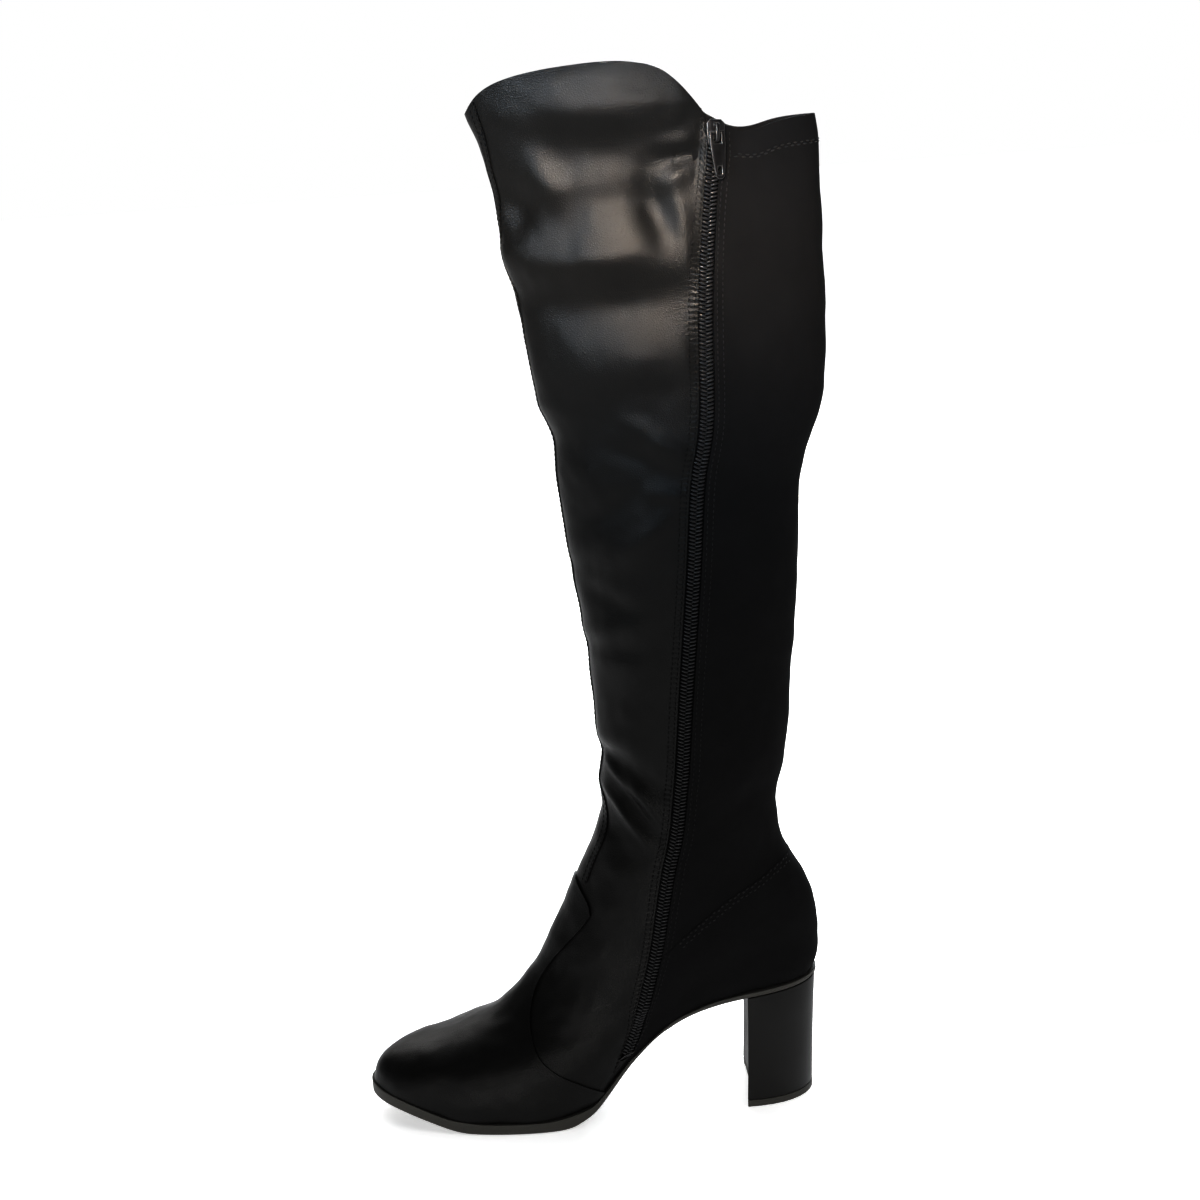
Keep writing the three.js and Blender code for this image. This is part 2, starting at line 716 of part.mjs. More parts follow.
// Slider, seen from outside: x across the zip, y up along it, z out of the boot.
function sliderGeometry() {
  const half = sliderLength / 2;
  const outline = new THREE.Shape([
    new THREE.Vector2(-sliderTail / 2, -half),
    new THREE.Vector2(sliderTail / 2, -half),
    new THREE.Vector2(sliderWidth / 2, half * 0.2),
    new THREE.Vector2(sliderWidth / 2, half * 0.7),
    new THREE.Vector2(sliderWidth * 0.28, half),
    new THREE.Vector2(-sliderWidth * 0.28, half),
    new THREE.Vector2(-sliderWidth / 2, half * 0.7),
    new THREE.Vector2(-sliderWidth / 2, half * 0.2),
  ]);
  const plate = new THREE.ExtrudeGeometry(outline, { depth: sliderThickness, bevelEnabled: false });
  const post = crownLength / 2;
  const top = crownRoom + crownRoof;
  const arch = new THREE.Shape([
    new THREE.Vector2(-post, -sliderThickness / 2),
    new THREE.Vector2(-post + crownPost, -sliderThickness / 2),
    new THREE.Vector2(-post + crownPost, crownRoom),
    new THREE.Vector2(post - crownPost, crownRoom),
    new THREE.Vector2(post - crownPost, -sliderThickness / 2),
    new THREE.Vector2(post, -sliderThickness / 2),
    new THREE.Vector2(post, crownRoom),
    new THREE.Vector2(post - crownPost, top),
    new THREE.Vector2(-post + crownPost, top),
    new THREE.Vector2(-post, crownRoom),
  ]);
  const crown = new THREE.ExtrudeGeometry(arch, { depth: crownWidth, bevelEnabled: false });
  crown.applyMatrix4(new THREE.Matrix4().makeBasis(
    new THREE.Vector3(0, 1, 0), new THREE.Vector3(0, 0, 1), new THREE.Vector3(1, 0, 0),
  ));
  crown.translate(-crownWidth / 2, 0, sliderThickness);
  return fromManifold(toManifold(joined(plate)).add(toManifold(joined(crown))));
}

// Pull tab about its hinge: it hangs along -y, with a window that clears the crown.
function pullGeometry() {
  const top = pullBar / 2;
  const windowEnd = crownLength / 2 + 1;
  const outline = new THREE.Shape([
    new THREE.Vector2(-pullTopWidth / 2, top),
    new THREE.Vector2(-pullTopWidth / 2, -windowEnd - pullBar),
    new THREE.Vector2(-pullTipWidth / 2, -pullLength + pullTipWidth * 0.3),
    new THREE.Vector2(-pullTipWidth * 0.2, -pullLength),
    new THREE.Vector2(pullTipWidth * 0.2, -pullLength),
    new THREE.Vector2(pullTipWidth / 2, -pullLength + pullTipWidth * 0.3),
    new THREE.Vector2(pullTopWidth / 2, -windowEnd - pullBar),
    new THREE.Vector2(pullTopWidth / 2, top),
  ]);
  const slot = (halfWidth, from, to) => new THREE.Path([
    new THREE.Vector2(-halfWidth, from),
    new THREE.Vector2(halfWidth, from),
    new THREE.Vector2(halfWidth, to),
    new THREE.Vector2(-halfWidth, to),
  ]);
  const slitEnd = -pullLength + pullSlit;
  outline.holes.push(slot(pullWindow / 2, -windowEnd, -top));
  outline.holes.push(slot(pullSlit / 2, slitEnd, slitEnd + pullSlitLength));
  const tab = new THREE.ExtrudeGeometry(outline, { depth: pullBar, bevelEnabled: false });
  tab.translate(0, 0, -pullBar / 2);
  return joined(tab);
}

function paint(colour, roughness, metalness) {
  return new THREE.MeshStandardMaterial({ color: colour, roughness, metalness });
}
const leather = paint(0x201c1b, 0.32, 0);
const fabric = paint(0x151417, 0.95, 0);
const rubber = paint(0x1b1918, 0.7, 0);
const lining = paint(0x1a1819, 0.9, 0);
const nylon = paint(0x0e0e10, 0.35, 0);
const gunmetal = paint(0x2a2a2c, 0.35, 0.9);

function named(name, geometry, material) {
  geometry.computeVertexNormals();
  const mesh = new THREE.Mesh(geometry, material);
  mesh.name = name;
  return mesh;
}

// Slider and pull stand on the chain at the top of the zip, in the zip's own directions. The
// pull hangs straight down, by its play under the crown.
function sliderGroup() {
  const turn = zipTurn(sliderRing, 0);
  const out = outward(sliderRing, turn);
  const below = skin(sliderRing - 1, zipTurn(sliderRing - 1, 0), 0);
  const across = skin(sliderRing, turn, 0).sub(below).cross(out).normalize();
  const up = out.clone().cross(across).normalize();
  const frame = new THREE.Matrix4().makeBasis(across, up, out);
  const group = new THREE.Group();
  group.setRotationFromMatrix(frame);
  group.position.copy(skin(sliderRing, turn, chainProud + gap));
  const pull = named('zip_pull', pullGeometry(), gunmetal);
  pull.position.set(0, 0, sliderThickness + crownRoom / 2);
  pull.rotation.z = THREE.MathUtils.degToRad(pullPlay);
  group.add(named('zip_slider', sliderGeometry(), gunmetal), pull);
  return group;
}

const group = new THREE.Group();
group.add(
  named('upper', upperGeometry(), leather),
  named('vamp', overlayGeometry(vampOutline(), 13), leather),
  named('counter', overlayGeometry(counterOutline(), 14), fabric),
  named('insole', insoleGeometry(), lining),
  named('outsole', outsoleGeometry(), rubber),
  named('heel', heelGeometry(), rubber),
  named('top_piece', topPieceGeometry(), rubber),
  named('zip_tape', tapeGeometry(), fabric),
  named('zip_chain', zipStrip(chainRings[0], chainRings[1], chainWidth / 2, -wall, chainProud), nylon),
  named('zip_stop', zipStrip(stopRings[0], stopRings[1], stopWidth / 2, -wall, stopProud), gunmetal),
  sliderGroup(),
);

// Origin on the floor under the middle of the boot.
const extent = new THREE.Box3().setFromObject(group);
const middle = extent.getCenter(new THREE.Vector3());
group.position.set(-middle.x, -middle.y, -extent.min.z);

export default group;
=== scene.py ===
import math
import bmesh
import bpy
from mathutils import Matrix, Vector, noise
from mathutils.bvhtree import BVHTree


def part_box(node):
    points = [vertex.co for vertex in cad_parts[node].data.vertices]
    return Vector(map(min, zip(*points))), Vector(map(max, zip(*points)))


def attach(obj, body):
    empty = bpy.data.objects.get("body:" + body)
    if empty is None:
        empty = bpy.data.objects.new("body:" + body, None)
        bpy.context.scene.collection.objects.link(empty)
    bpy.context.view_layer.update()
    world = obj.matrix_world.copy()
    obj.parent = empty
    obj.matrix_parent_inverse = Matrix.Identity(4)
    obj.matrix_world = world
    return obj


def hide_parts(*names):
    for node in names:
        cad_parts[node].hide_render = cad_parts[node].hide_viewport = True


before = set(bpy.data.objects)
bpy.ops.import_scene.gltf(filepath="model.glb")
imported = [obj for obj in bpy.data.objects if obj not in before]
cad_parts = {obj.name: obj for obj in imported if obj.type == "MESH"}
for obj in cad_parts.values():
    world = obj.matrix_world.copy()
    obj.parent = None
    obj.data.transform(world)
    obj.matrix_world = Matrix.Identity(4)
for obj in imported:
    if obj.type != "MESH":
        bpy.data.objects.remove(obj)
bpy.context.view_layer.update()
mm = 0.001
print("frame loaded")


def clearSelection():
    if bpy.context.mode != "OBJECT":
        bpy.ops.object.mode_set(mode="OBJECT")
    bpy.ops.object.select_all(action="DESELECT")


def pick(piece):
    clearSelection()
    piece.select_set(True)
    bpy.context.view_layer.objects.active = piece


clearSelection()

# Camera and stage
cameraSetup = {"place": (0.0456, -1.0034, 0.560), "aim": (0.0105, 0.001, 0.284), "roll": -4.0,
               "lens": 60.0, "sensor": 36.0}


def buildCamera(setup):
    data = bpy.data.cameras.new("boot_camera")
    data.lens = setup["lens"]
    data.sensor_width = setup["sensor"]
    camera = bpy.data.objects.new("boot_camera", data)
    bpy.context.scene.collection.objects.link(camera)
    place = Vector(setup["place"])
    forward = (Vector(setup["aim"]) - place).normalized()
    side = forward.cross(Vector((0, 0, 1))).normalized()
    rise = side.cross(forward)
    lean = math.radians(setup["roll"])
    right = side * math.cos(lean) + rise * math.sin(lean)
    up = rise * math.cos(lean) - side * math.sin(lean)
    turned = Matrix((right, up, -forward)).transposed().to_4x4()
    camera.matrix_world = Matrix.Translation(place) @ turned
    bpy.context.scene.camera = camera


buildCamera(cameraSetup)

# Narrow spreads keep the front lights on the upper shaft, and the lower boot stays dark.
lightSetup = {
    "key": {"place": (-0.14, -1.22, 0.88), "aim": (0.02, 0.0, 0.535), "width": 0.50, "height": 0.26,
            "spread": 17.5, "power": 0.54, "tint": (0.60, 0.80, 1.0)},
    "wing": {"place": (-0.92, -0.86, 0.88), "aim": (-0.01, 0.0, 0.53), "width": 0.80, "height": 0.28,
             "spread": 19.0, "power": 1.1, "tint": (0.80, 0.90, 1.0)},
    "spot": {"place": (-0.20, -1.21, 0.87), "aim": (-0.012, 0.0, 0.474), "width": 0.38, "height": 0.08,
             "spread": 9.0, "power": 0.44, "tint": (1.0, 0.80, 0.60)},
    "fill": {"place": (-0.35, -1.25, 0.14), "aim": (-0.06, 0.0, 0.02), "width": 1.0, "height": 0.24,
             "spread": 26.0, "power": 0.42, "tint": (1.0, 0.98, 0.94)},
    "rim": {"place": (-0.75, 1.4, 0.95), "aim": (0.0, 0.0, 0.15), "width": 1.0, "height": 0.8,
            "spread": 180.0, "power": 11.5, "tint": (1.0, 0.98, 0.96)},
    "side": {"place": (1.1, -0.5, 0.7), "aim": (0.0, 0.0, 0.3), "width": 0.4, "height": 0.6,
             "spread": 180.0, "power": 3.0, "tint": (1.0, 0.96, 0.92)},
    "back": {"place": (0.45, 1.3, 0.90), "aim": (0.02, 0.0, 0.36), "width": 0.9, "height": 0.5,
             "spread": 90.0, "power": 8.0, "tint": (0.92, 0.96, 1.0)},
}
skySetup = {"lean": (-20.0, 8.0), "strength": 1.6, "angle": 80.0}
viewGamma = 0.65


def areaLight(name, setup):
    data = bpy.data.lights.new(name, "AREA")
    data.shape = "RECTANGLE"
    data.size = setup["width"]
    data.size_y = setup["height"]
    data.spread = math.radians(setup["spread"])
    data.energy = setup["power"]
    data.color = setup["tint"]
    light = bpy.data.objects.new(name, data)
    bpy.context.scene.collection.objects.link(light)
    light.location = setup["place"]
    aim = Vector(setup["aim"]) - Vector(setup["place"])
    light.rotation_euler = aim.to_track_quat("-Z", "Y").to_euler()


def skyLight(setup):
    data = bpy.data.lights.new("sky_light", "SUN")
    data.energy = setup["strength"]
    data.angle = math.radians(setup["angle"])
    light = bpy.data.objects.new("sky_light", data)
    bpy.context.scene.collection.objects.link(light)
    light.rotation_euler = [math.radians(lean) for lean in setup["lean"]] + [0.0]


for name, setup in lightSetup.items():
    areaLight(name + "_light", setup)
skyLight(skySetup)
bpy.context.scene.view_settings.view_transform = "Standard"
bpy.context.scene.view_settings.gamma = viewGamma
print("camera and lights placed")


# Materials
class Wire:
    def __init__(self, finish, socket):
        self.finish = finish
        self.socket = socket

    def maths(self, operation, first, second):
        return self.finish.add("ShaderNodeMath", {"operation": operation}, {0: first, 1: second})

    def __add__(self, other):
        return self.maths("ADD", self, other)

    def __radd__(self, other):
        return self.maths("ADD", other, self)

    def __sub__(self, other):
        return self.maths("SUBTRACT", self, other)

    def __rsub__(self, other):
        return self.maths("SUBTRACT", other, self)

    def __mul__(self, other):
        return self.maths("MULTIPLY", self, other)

    def __rmul__(self, other):
        return self.maths("MULTIPLY", other, self)

    def wave(self):
        return self.maths("SINE", self, 0.0)


class Finish:
    def __init__(self, name, constants):
        self.material = bpy.data.materials.new(name)
        self.material.use_nodes = True
        self.tree = self.material.node_tree
        self.shader = self.tree.nodes["Principled BSDF"]
        for key, value in constants.items():
            self.shader.inputs[key].default_value = value

    def add(self, kind, settings, values, output=0):
        node = self.tree.nodes.new(kind)
        for key, value in settings.items():
            setattr(node, key, value)
        for key, value in values.items():
            if isinstance(value, Wire):
                self.tree.links.new(value.socket, node.inputs[key])
            else:
                node.inputs[key].default_value = value
        return Wire(self, node.outputs[output])

    def place(self):
        return self.add("ShaderNodeTexCoord", {}, {}, "Object")

    def stored(self, name):
        return self.add("ShaderNodeAttribute", {"attribute_name": name}, {}, "Fac")

    def noise(self, scale, detail, rough):
        return self.add("ShaderNodeTexNoise", {}, {
            "Vector": self.place(), "Scale": scale, "Detail": detail, "Roughness": rough,
        })

    def cells(self, scale):
        return self.add("ShaderNodeTexVoronoi", {"feature": "DISTANCE_TO_EDGE"}, {
            "Vector": self.place(), "Scale": scale,
        }, "Distance")

    def blend(self, factor, first, second):
        return self.add("ShaderNodeMix", {"data_type": "RGBA"}, {
            "Factor": factor, 6: first, 7: second,
        }, 2)

    def bump(self, height, strength, depth):
        return self.add("ShaderNodeBump", {}, {
            "Height": height, "Strength": strength, "Distance": depth,
        })

    def link(self, key, wire):
        self.tree.links.new(wire.socket, self.shader.inputs[key])


def tone(red, green, blue):
    return (red, green, blue, 1.0)


# The leather puckers between the stitches beside the zip, stitchTurns radians along each metre.
stitchTurns = 2300.0


def leatherFinish():
    finish = Finish("black_leather", {"Specular IOR Level": 0.21})
    mottle = finish.noise(38.0, 4.0, 0.6)
    grain = finish.cells(900.0)
    pores = finish.noise(2600.0, 2.0, 0.6)
    low, high = tone(0.0042, 0.0041, 0.0039), tone(0.0068, 0.0066, 0.0062)
    finish.link("Base Color", finish.blend(mottle, low, high))
    finish.link("Roughness", 0.31 + 0.12 * mottle)
    puckers = finish.stored("pucker") * (finish.stored("zip_along") * stitchTurns + mottle * 9.0).wave()
    finish.link("Normal", finish.bump(grain * 0.6 + pores * 0.4 + puckers * 0.4, 0.5, 0.0005))
    return finish.material


def fabricFinish():
    finish = Finish("stretch_fabric", {"Specular IOR Level": 0.12})
    mottle = finish.noise(26.0, 5.0, 0.65)
    fibre = finish.noise(1500.0, 3.0, 0.7)
    low, high = tone(0.0065, 0.0065, 0.0068), tone(0.0130, 0.0128, 0.0134)
    finish.link("Base Color", finish.blend(mottle, low, high))
    finish.link("Roughness", 0.82 + 0.12 * fibre)
    finish.link("Normal", finish.bump(fibre, 0.35, 0.0003))
    return finish.material


def rubberFinish(name, low, high, rough):
    finish = Finish(name, {"Specular IOR Level": 0.3})
    mottle = finish.noise(45.0, 5.0, 0.6)
    fine = finish.noise(1800.0, 2.0, 0.6)
    finish.link("Base Color", finish.blend(mottle, tone(*low), tone(*high)))
    finish.link("Roughness", rough + 0.14 * mottle)
    finish.link("Normal", finish.bump(fine, 0.2, 0.0002))
    return finish.material


def liningFinish():
    finish = Finish("black_lining", {"Specular IOR Level": 0.2})
    mottle = finish.noise(90.0, 3.0, 0.6)
    weave = finish.noise(1100.0, 2.0, 0.5)
    low, high = tone(0.012, 0.0115, 0.0115), tone(0.02, 0.019, 0.019)
    finish.link("Base Color", finish.blend(mottle, low, high))
    finish.link("Roughness", 0.8 + 0.15 * weave)
    finish.link("Normal", finish.bump(weave, 0.3, 0.0003))
    return finish.material


def nylonFinish():
    finish = Finish("zip_nylon", {"Specular IOR Level": 0.55})
    mottle = finish.noise(600.0, 2.0, 0.5)
    low, high = tone(0.009, 0.009, 0.0098), tone(0.016, 0.016, 0.0175)
    finish.link("Base Color", finish.blend(mottle, low, high))
    finish.link("Roughness", 0.3 + 0.2 * mottle)
    return finish.material


def metalFinish():
    finish = Finish("dark_gunmetal", {"Metallic": 1.0})
    mottle = finish.noise(260.0, 4.0, 0.6)
    plain = finish.blend(mottle, tone(0.022, 0.0215, 0.0225), tone(0.045, 0.044, 0.045))
    finish.link("Base Color", finish.blend(finish.stored("rim"), plain, tone(0.12, 0.118, 0.118)))
    finish.link("Roughness", 0.30 + 0.2 * mottle)
    return finish.material


def threadFinish(name, low, high):
    finish = Finish(name, {"Specular IOR Level": 0.15})
    twist = finish.noise(3000.0, 2.0, 0.5)
    finish.link("Base Color", finish.blend(twist, tone(*low), tone(*high)))
    finish.link("Roughness", 0.55 + 0.2 * twist)
    return finish.material


def floorFinish():
    finish = Finish("pale_floor", {"Roughness": 0.9, "Specular IOR Level": 0.1,
                                   "Emission Color": tone(1.0, 1.0, 1.0), "Emission Strength": 0.6})
    soft = finish.noise(2.0, 2.0, 0.5)
    finish.link("Base Color", finish.blend(soft, tone(0.90, 0.90, 0.90), tone(0.92, 0.92, 0.92)))
    return finish.material


finishes = {
    "leather": leatherFinish(),
    "fabric": fabricFinish(),
    "sole": rubberFinish("sole_rubber", (0.043, 0.0418, 0.0375), (0.066, 0.0640, 0.0575), 0.5),
    "heel": rubberFinish("heel_block", (0.006, 0.0058, 0.0053), (0.010, 0.0096, 0.0090), 0.42),
    "lining": liningFinish(),
    "nylon": nylonFinish(),
    "metal": metalFinish(),
    # The thread of the leather stitches is near-black, darker than the leather itself: painted shade of
    # the stitch holes.
    "hole_shade_thread": threadFinish("hole_shade_thread", (0.002, 0.002, 0.002), (0.005, 0.0049, 0.0049)),
    "light_thread": threadFinish("light_thread", (0.018, 0.0177, 0.018), (0.032, 0.0315, 0.032)),
    "thread": threadFinish("stretch_thread", (0.012, 0.0118, 0.012), (0.026, 0.0255, 0.026)),
}
print("materials made")


def buildWorld():
    world = bpy.data.worlds.new("pale_studio")
    world.use_nodes = True
    bpy.context.scene.world = world
    nodes = world.node_tree.nodes
    links = world.node_tree.links
    around = nodes["Background"]
    around.inputs["Color"].default_value = tone(0.92, 0.96, 1.0)
    around.inputs["Strength"].default_value = 0.18
    behind = nodes.new("ShaderNodeBackground")
    behind.inputs["Color"].default_value = tone(1.0, 1.0, 1.0)
    ray = nodes.new("ShaderNodeLightPath")
    mixed = nodes.new("ShaderNodeMixShader")
    links.new(ray.outputs["Is Camera Ray"], mixed.inputs[0])
    links.new(around.outputs[0], mixed.inputs[1])
    links.new(behind.outputs[0], mixed.inputs[2])
    links.new(mixed.outputs[0], nodes["World Output"].inputs["Surface"])


buildWorld()


def buildFloor():
    bpy.ops.mesh.primitive_plane_add(size=16.0, location=(0.0, 0.0, 0.0))
    floor = bpy.context.object
    floor.name = "pale_floor"
    floor.data.materials.append(floorFinish())


buildFloor()


def finishPiece(piece, body, finish, nodes=()):
    piece.data.materials.clear()
    piece.data.materials.append(finishes[finish])
    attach(piece, body)
    if nodes:
        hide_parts(*nodes)
    print(piece.name, len(piece.data.polygons), "faces")


def applyAll(piece):
    pick(piece)
    for modifier in list(piece.modifiers):
        bpy.ops.object.modifier_apply(modifier=modifier.name)


def newPiece(name, bm):
    mesh = bpy.data.meshes.new(name)
    bm.to_mesh(mesh)
    bm.free()
    piece = bpy.data.objects.new(name, mesh)
    bpy.context.scene.collection.objects.link(piece)
    return piece


weld = 0.02 * mm
skinCrease = math.radians(40.0)


# The skin of the upper, read back from its solid as rows of points from the lasted edge to the
# collar. Columns run from the front over the inner side to the back and round to the front.
def skinFaces(bm, inside):
    seed = max(bm.faces, key=lambda face: face.calc_center_median().y if face.normal.y < -0.5 else -1.0)
    surface = {seed}
    front = [seed]
    while front:
        face = front.pop()
        for edge in face.edges:
            if edge.calc_face_angle(math.pi) < skinCrease:
                for other in edge.link_faces:
                    if other not in surface:
                        surface.add(other)
                        front.append(other)
    if inside:
        return surface
    lined = {vert for face in surface for vert in face.verts}
    return {face for face in bm.faces if not any(vert in lined for vert in face.verts)}


def lowestLoop(bm, surface):
    free = {edge for edge in bm.edges if sum(face in surface for face in edge.link_faces) == 1}
    loops = []
    while free:
        first = free.pop()
        loop = list(first.verts)
        grown = True
        while grown:
            grown = False
            for edge in loop[-1].link_edges:
                if edge in free:
                    free.remove(edge)
                    loop.append(edge.other_vert(loop[-1]))
                    grown = True
                    break
        loops.append(loop[:-1])
    loop = min(loops, key=lambda found: sum(vert.co.z for vert in found) / len(found))
    start = loop.index(min(loop, key=lambda vert: vert.co.x))
    loop = loop[start:] + loop[:start]
    if loop[1].co.y > loop[-1].co.y:
        loop = [loop[0]] + loop[:0:-1]
    return loop


def skinRows(inside):
    bm = bmesh.new()
    bm.from_mesh(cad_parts["upper"].data)
    bmesh.ops.remove_doubles(bm, verts=bm.verts, dist=weld)
    surface = skinFaces(bm, inside)
    row = lowestLoop(bm, surface)
    count = len(row)
    rows = [row]
    while row:
        above = [None] * count
        for j in range(count):
            a, b = row[j], row[(j + 1) % count]
            shared = [face for face in a.link_faces if face in surface and b in face.verts]
            if not shared:
                continue
            surface.remove(shared[0])
            c = next(vert for vert in shared[0].verts if vert not in (a, b))
            second = next(face for face in c.link_faces if face in surface and a in face.verts)
            surface.remove(second)
            above[j] = next(vert for vert in second.verts if vert not in (a, c))
            above[(j + 1) % count] = c
        row = above if all(above) else None
        if row:
            rows.append(row)
    points = [[vert.co.copy() for vert in row] for row in rows]
    bm.free()
    return points


outerRows = skinRows(False)
innerRows = skinRows(True)
print("skin rows", len(outerRows), len(innerRows), "columns", len(outerRows[0]))
zipColumn = 11  # the slot lies between this column and the next
roundColumns = len(outerRows[0])
mirrorColumn = roundColumns - zipColumn - 1
edgeSetup = {"slot": 6.8 * mm, "dipAt": 97.0, "dipWide": 11.0, "dip": 2.9, "dipFrom": 485.0,
             "dipFull": 512.0}


# The zip's directions at a row: along it, across it and out of the skin.
def zipWays(rows, i):
    ends = (max(i - 1, 1), min(i + 1, len(rows) - 1))
    middles = [(rows[k][zipColumn] + rows[k][zipColumn + 1]) / 2 for k in ends]
    along = (middles[1] - middles[0]).normalized()
    out = (rows[i][zipColumn + 1] - rows[i][zipColumn]).cross(along).normalized()
    return along, along.cross(out), out


# The slot keeps its width down to the foot, and the stretch panel's top edge dips beside the zip and,
# mirrored, beside the outer seam.
def fitEdges(rows):
    shifts = []
    for i in range(1, len(rows)):
        across = zipWays(rows, i)[1]
        short = edgeSetup["slot"] - (rows[i][zipColumn + 1] - rows[i][zipColumn]).dot(across)
        shifts.append(across * max(0.0, short / 2))
    for row, shift in zip(rows[1:], shifts):
        row[zipColumn] -= shift
        row[zipColumn + 1] += shift
    for row in rows:
        for point in row[zipColumn + 2:mirrorColumn]:
            share = (point.z / mm - edgeSetup["dipFrom"]) / (edgeSetup["dipFull"] - edgeSetup["dipFrom"])
            aside = (point.x / mm - edgeSetup["dipAt"]) / edgeSetup["dipWide"]
            point.z -= edgeSetup["dip"] * mm * min(max(share, 0.0), 1.0) * math.exp(-aside * aside)


fitEdges(outerRows)
fitEdges(innerRows)


# Distance of each point from the front line, positive on the inner side.
def girths(row):
    half = roundColumns // 2
    way = [0.0] * roundColumns
    for j in range(1, half + 1):
        way[j] = way[j - 1] + (row[j] - row[j - 1]).length
    back = 0.0
    for j in range(roundColumns - 1, half, -1):
        back -= (row[(j + 1) % roundColumns] - row[j]).length
        way[j] = back
    return way


outerGirths = [girths(row) for row in outerRows]
zipLengths = [0.0]
for low, high in zip(outerRows, outerRows[1:]):
    zipLengths.append(zipLengths[-1] + (high[zipColumn] - low[zipColumn]).length)


# A panel of the skin's cells. Each point carries its distance from the zip and its way along it.
def panel(name, rows, columns, extra, flip):
    bm = bmesh.new()
    aside = bm.verts.layers.float.new("zip_away")
    along = bm.verts.layers.float.new("zip_along")
    verts = {}

    def vertAt(i, j):
        if (i, j) not in verts:
            vert = bm.verts.new(rows[i][j])
            middle = (outerGirths[i][zipColumn] + outerGirths[i][zipColumn + 1]) / 2
            vert[aside] = outerGirths[i][j] - middle
            vert[along] = zipLengths[i]
            verts[i, j] = vert
        return verts[i, j]

    cells = [(i, j) for i in range(len(rows) - 1) for j in columns] + extra
    for i, j in cells:
        k = (j + 1) % roundColumns
        corners = [vertAt(i, j), vertAt(i, k), vertAt(i + 1, k), vertAt(i + 1, j)]
        bm.faces.new(corners[::-1] if flip else corners)
    return newPiece(name, bm)


frontCells = list(range(mirrorColumn + 1, roundColumns)) + list(range(zipColumn))
backCells = list(range(zipColumn + 1, mirrorColumn + 1))
leatherFront = panel("leather_front", outerRows, frontCells, [(0, zipColumn)], False)
fabricBack = panel("fabric_back", outerRows, backCells, [], False)
lining = panel("lining", innerRows, frontCells + backCells, [(0, zipColumn)], True)


def smoothTo(piece, levels):
    modifier = piece.modifiers.new("round", "SUBSURF")
    modifier.levels = levels
    modifier.render_levels = levels
    modifier.boundary_smooth = "PRESERVE_CORNERS"
    applyAll(piece)


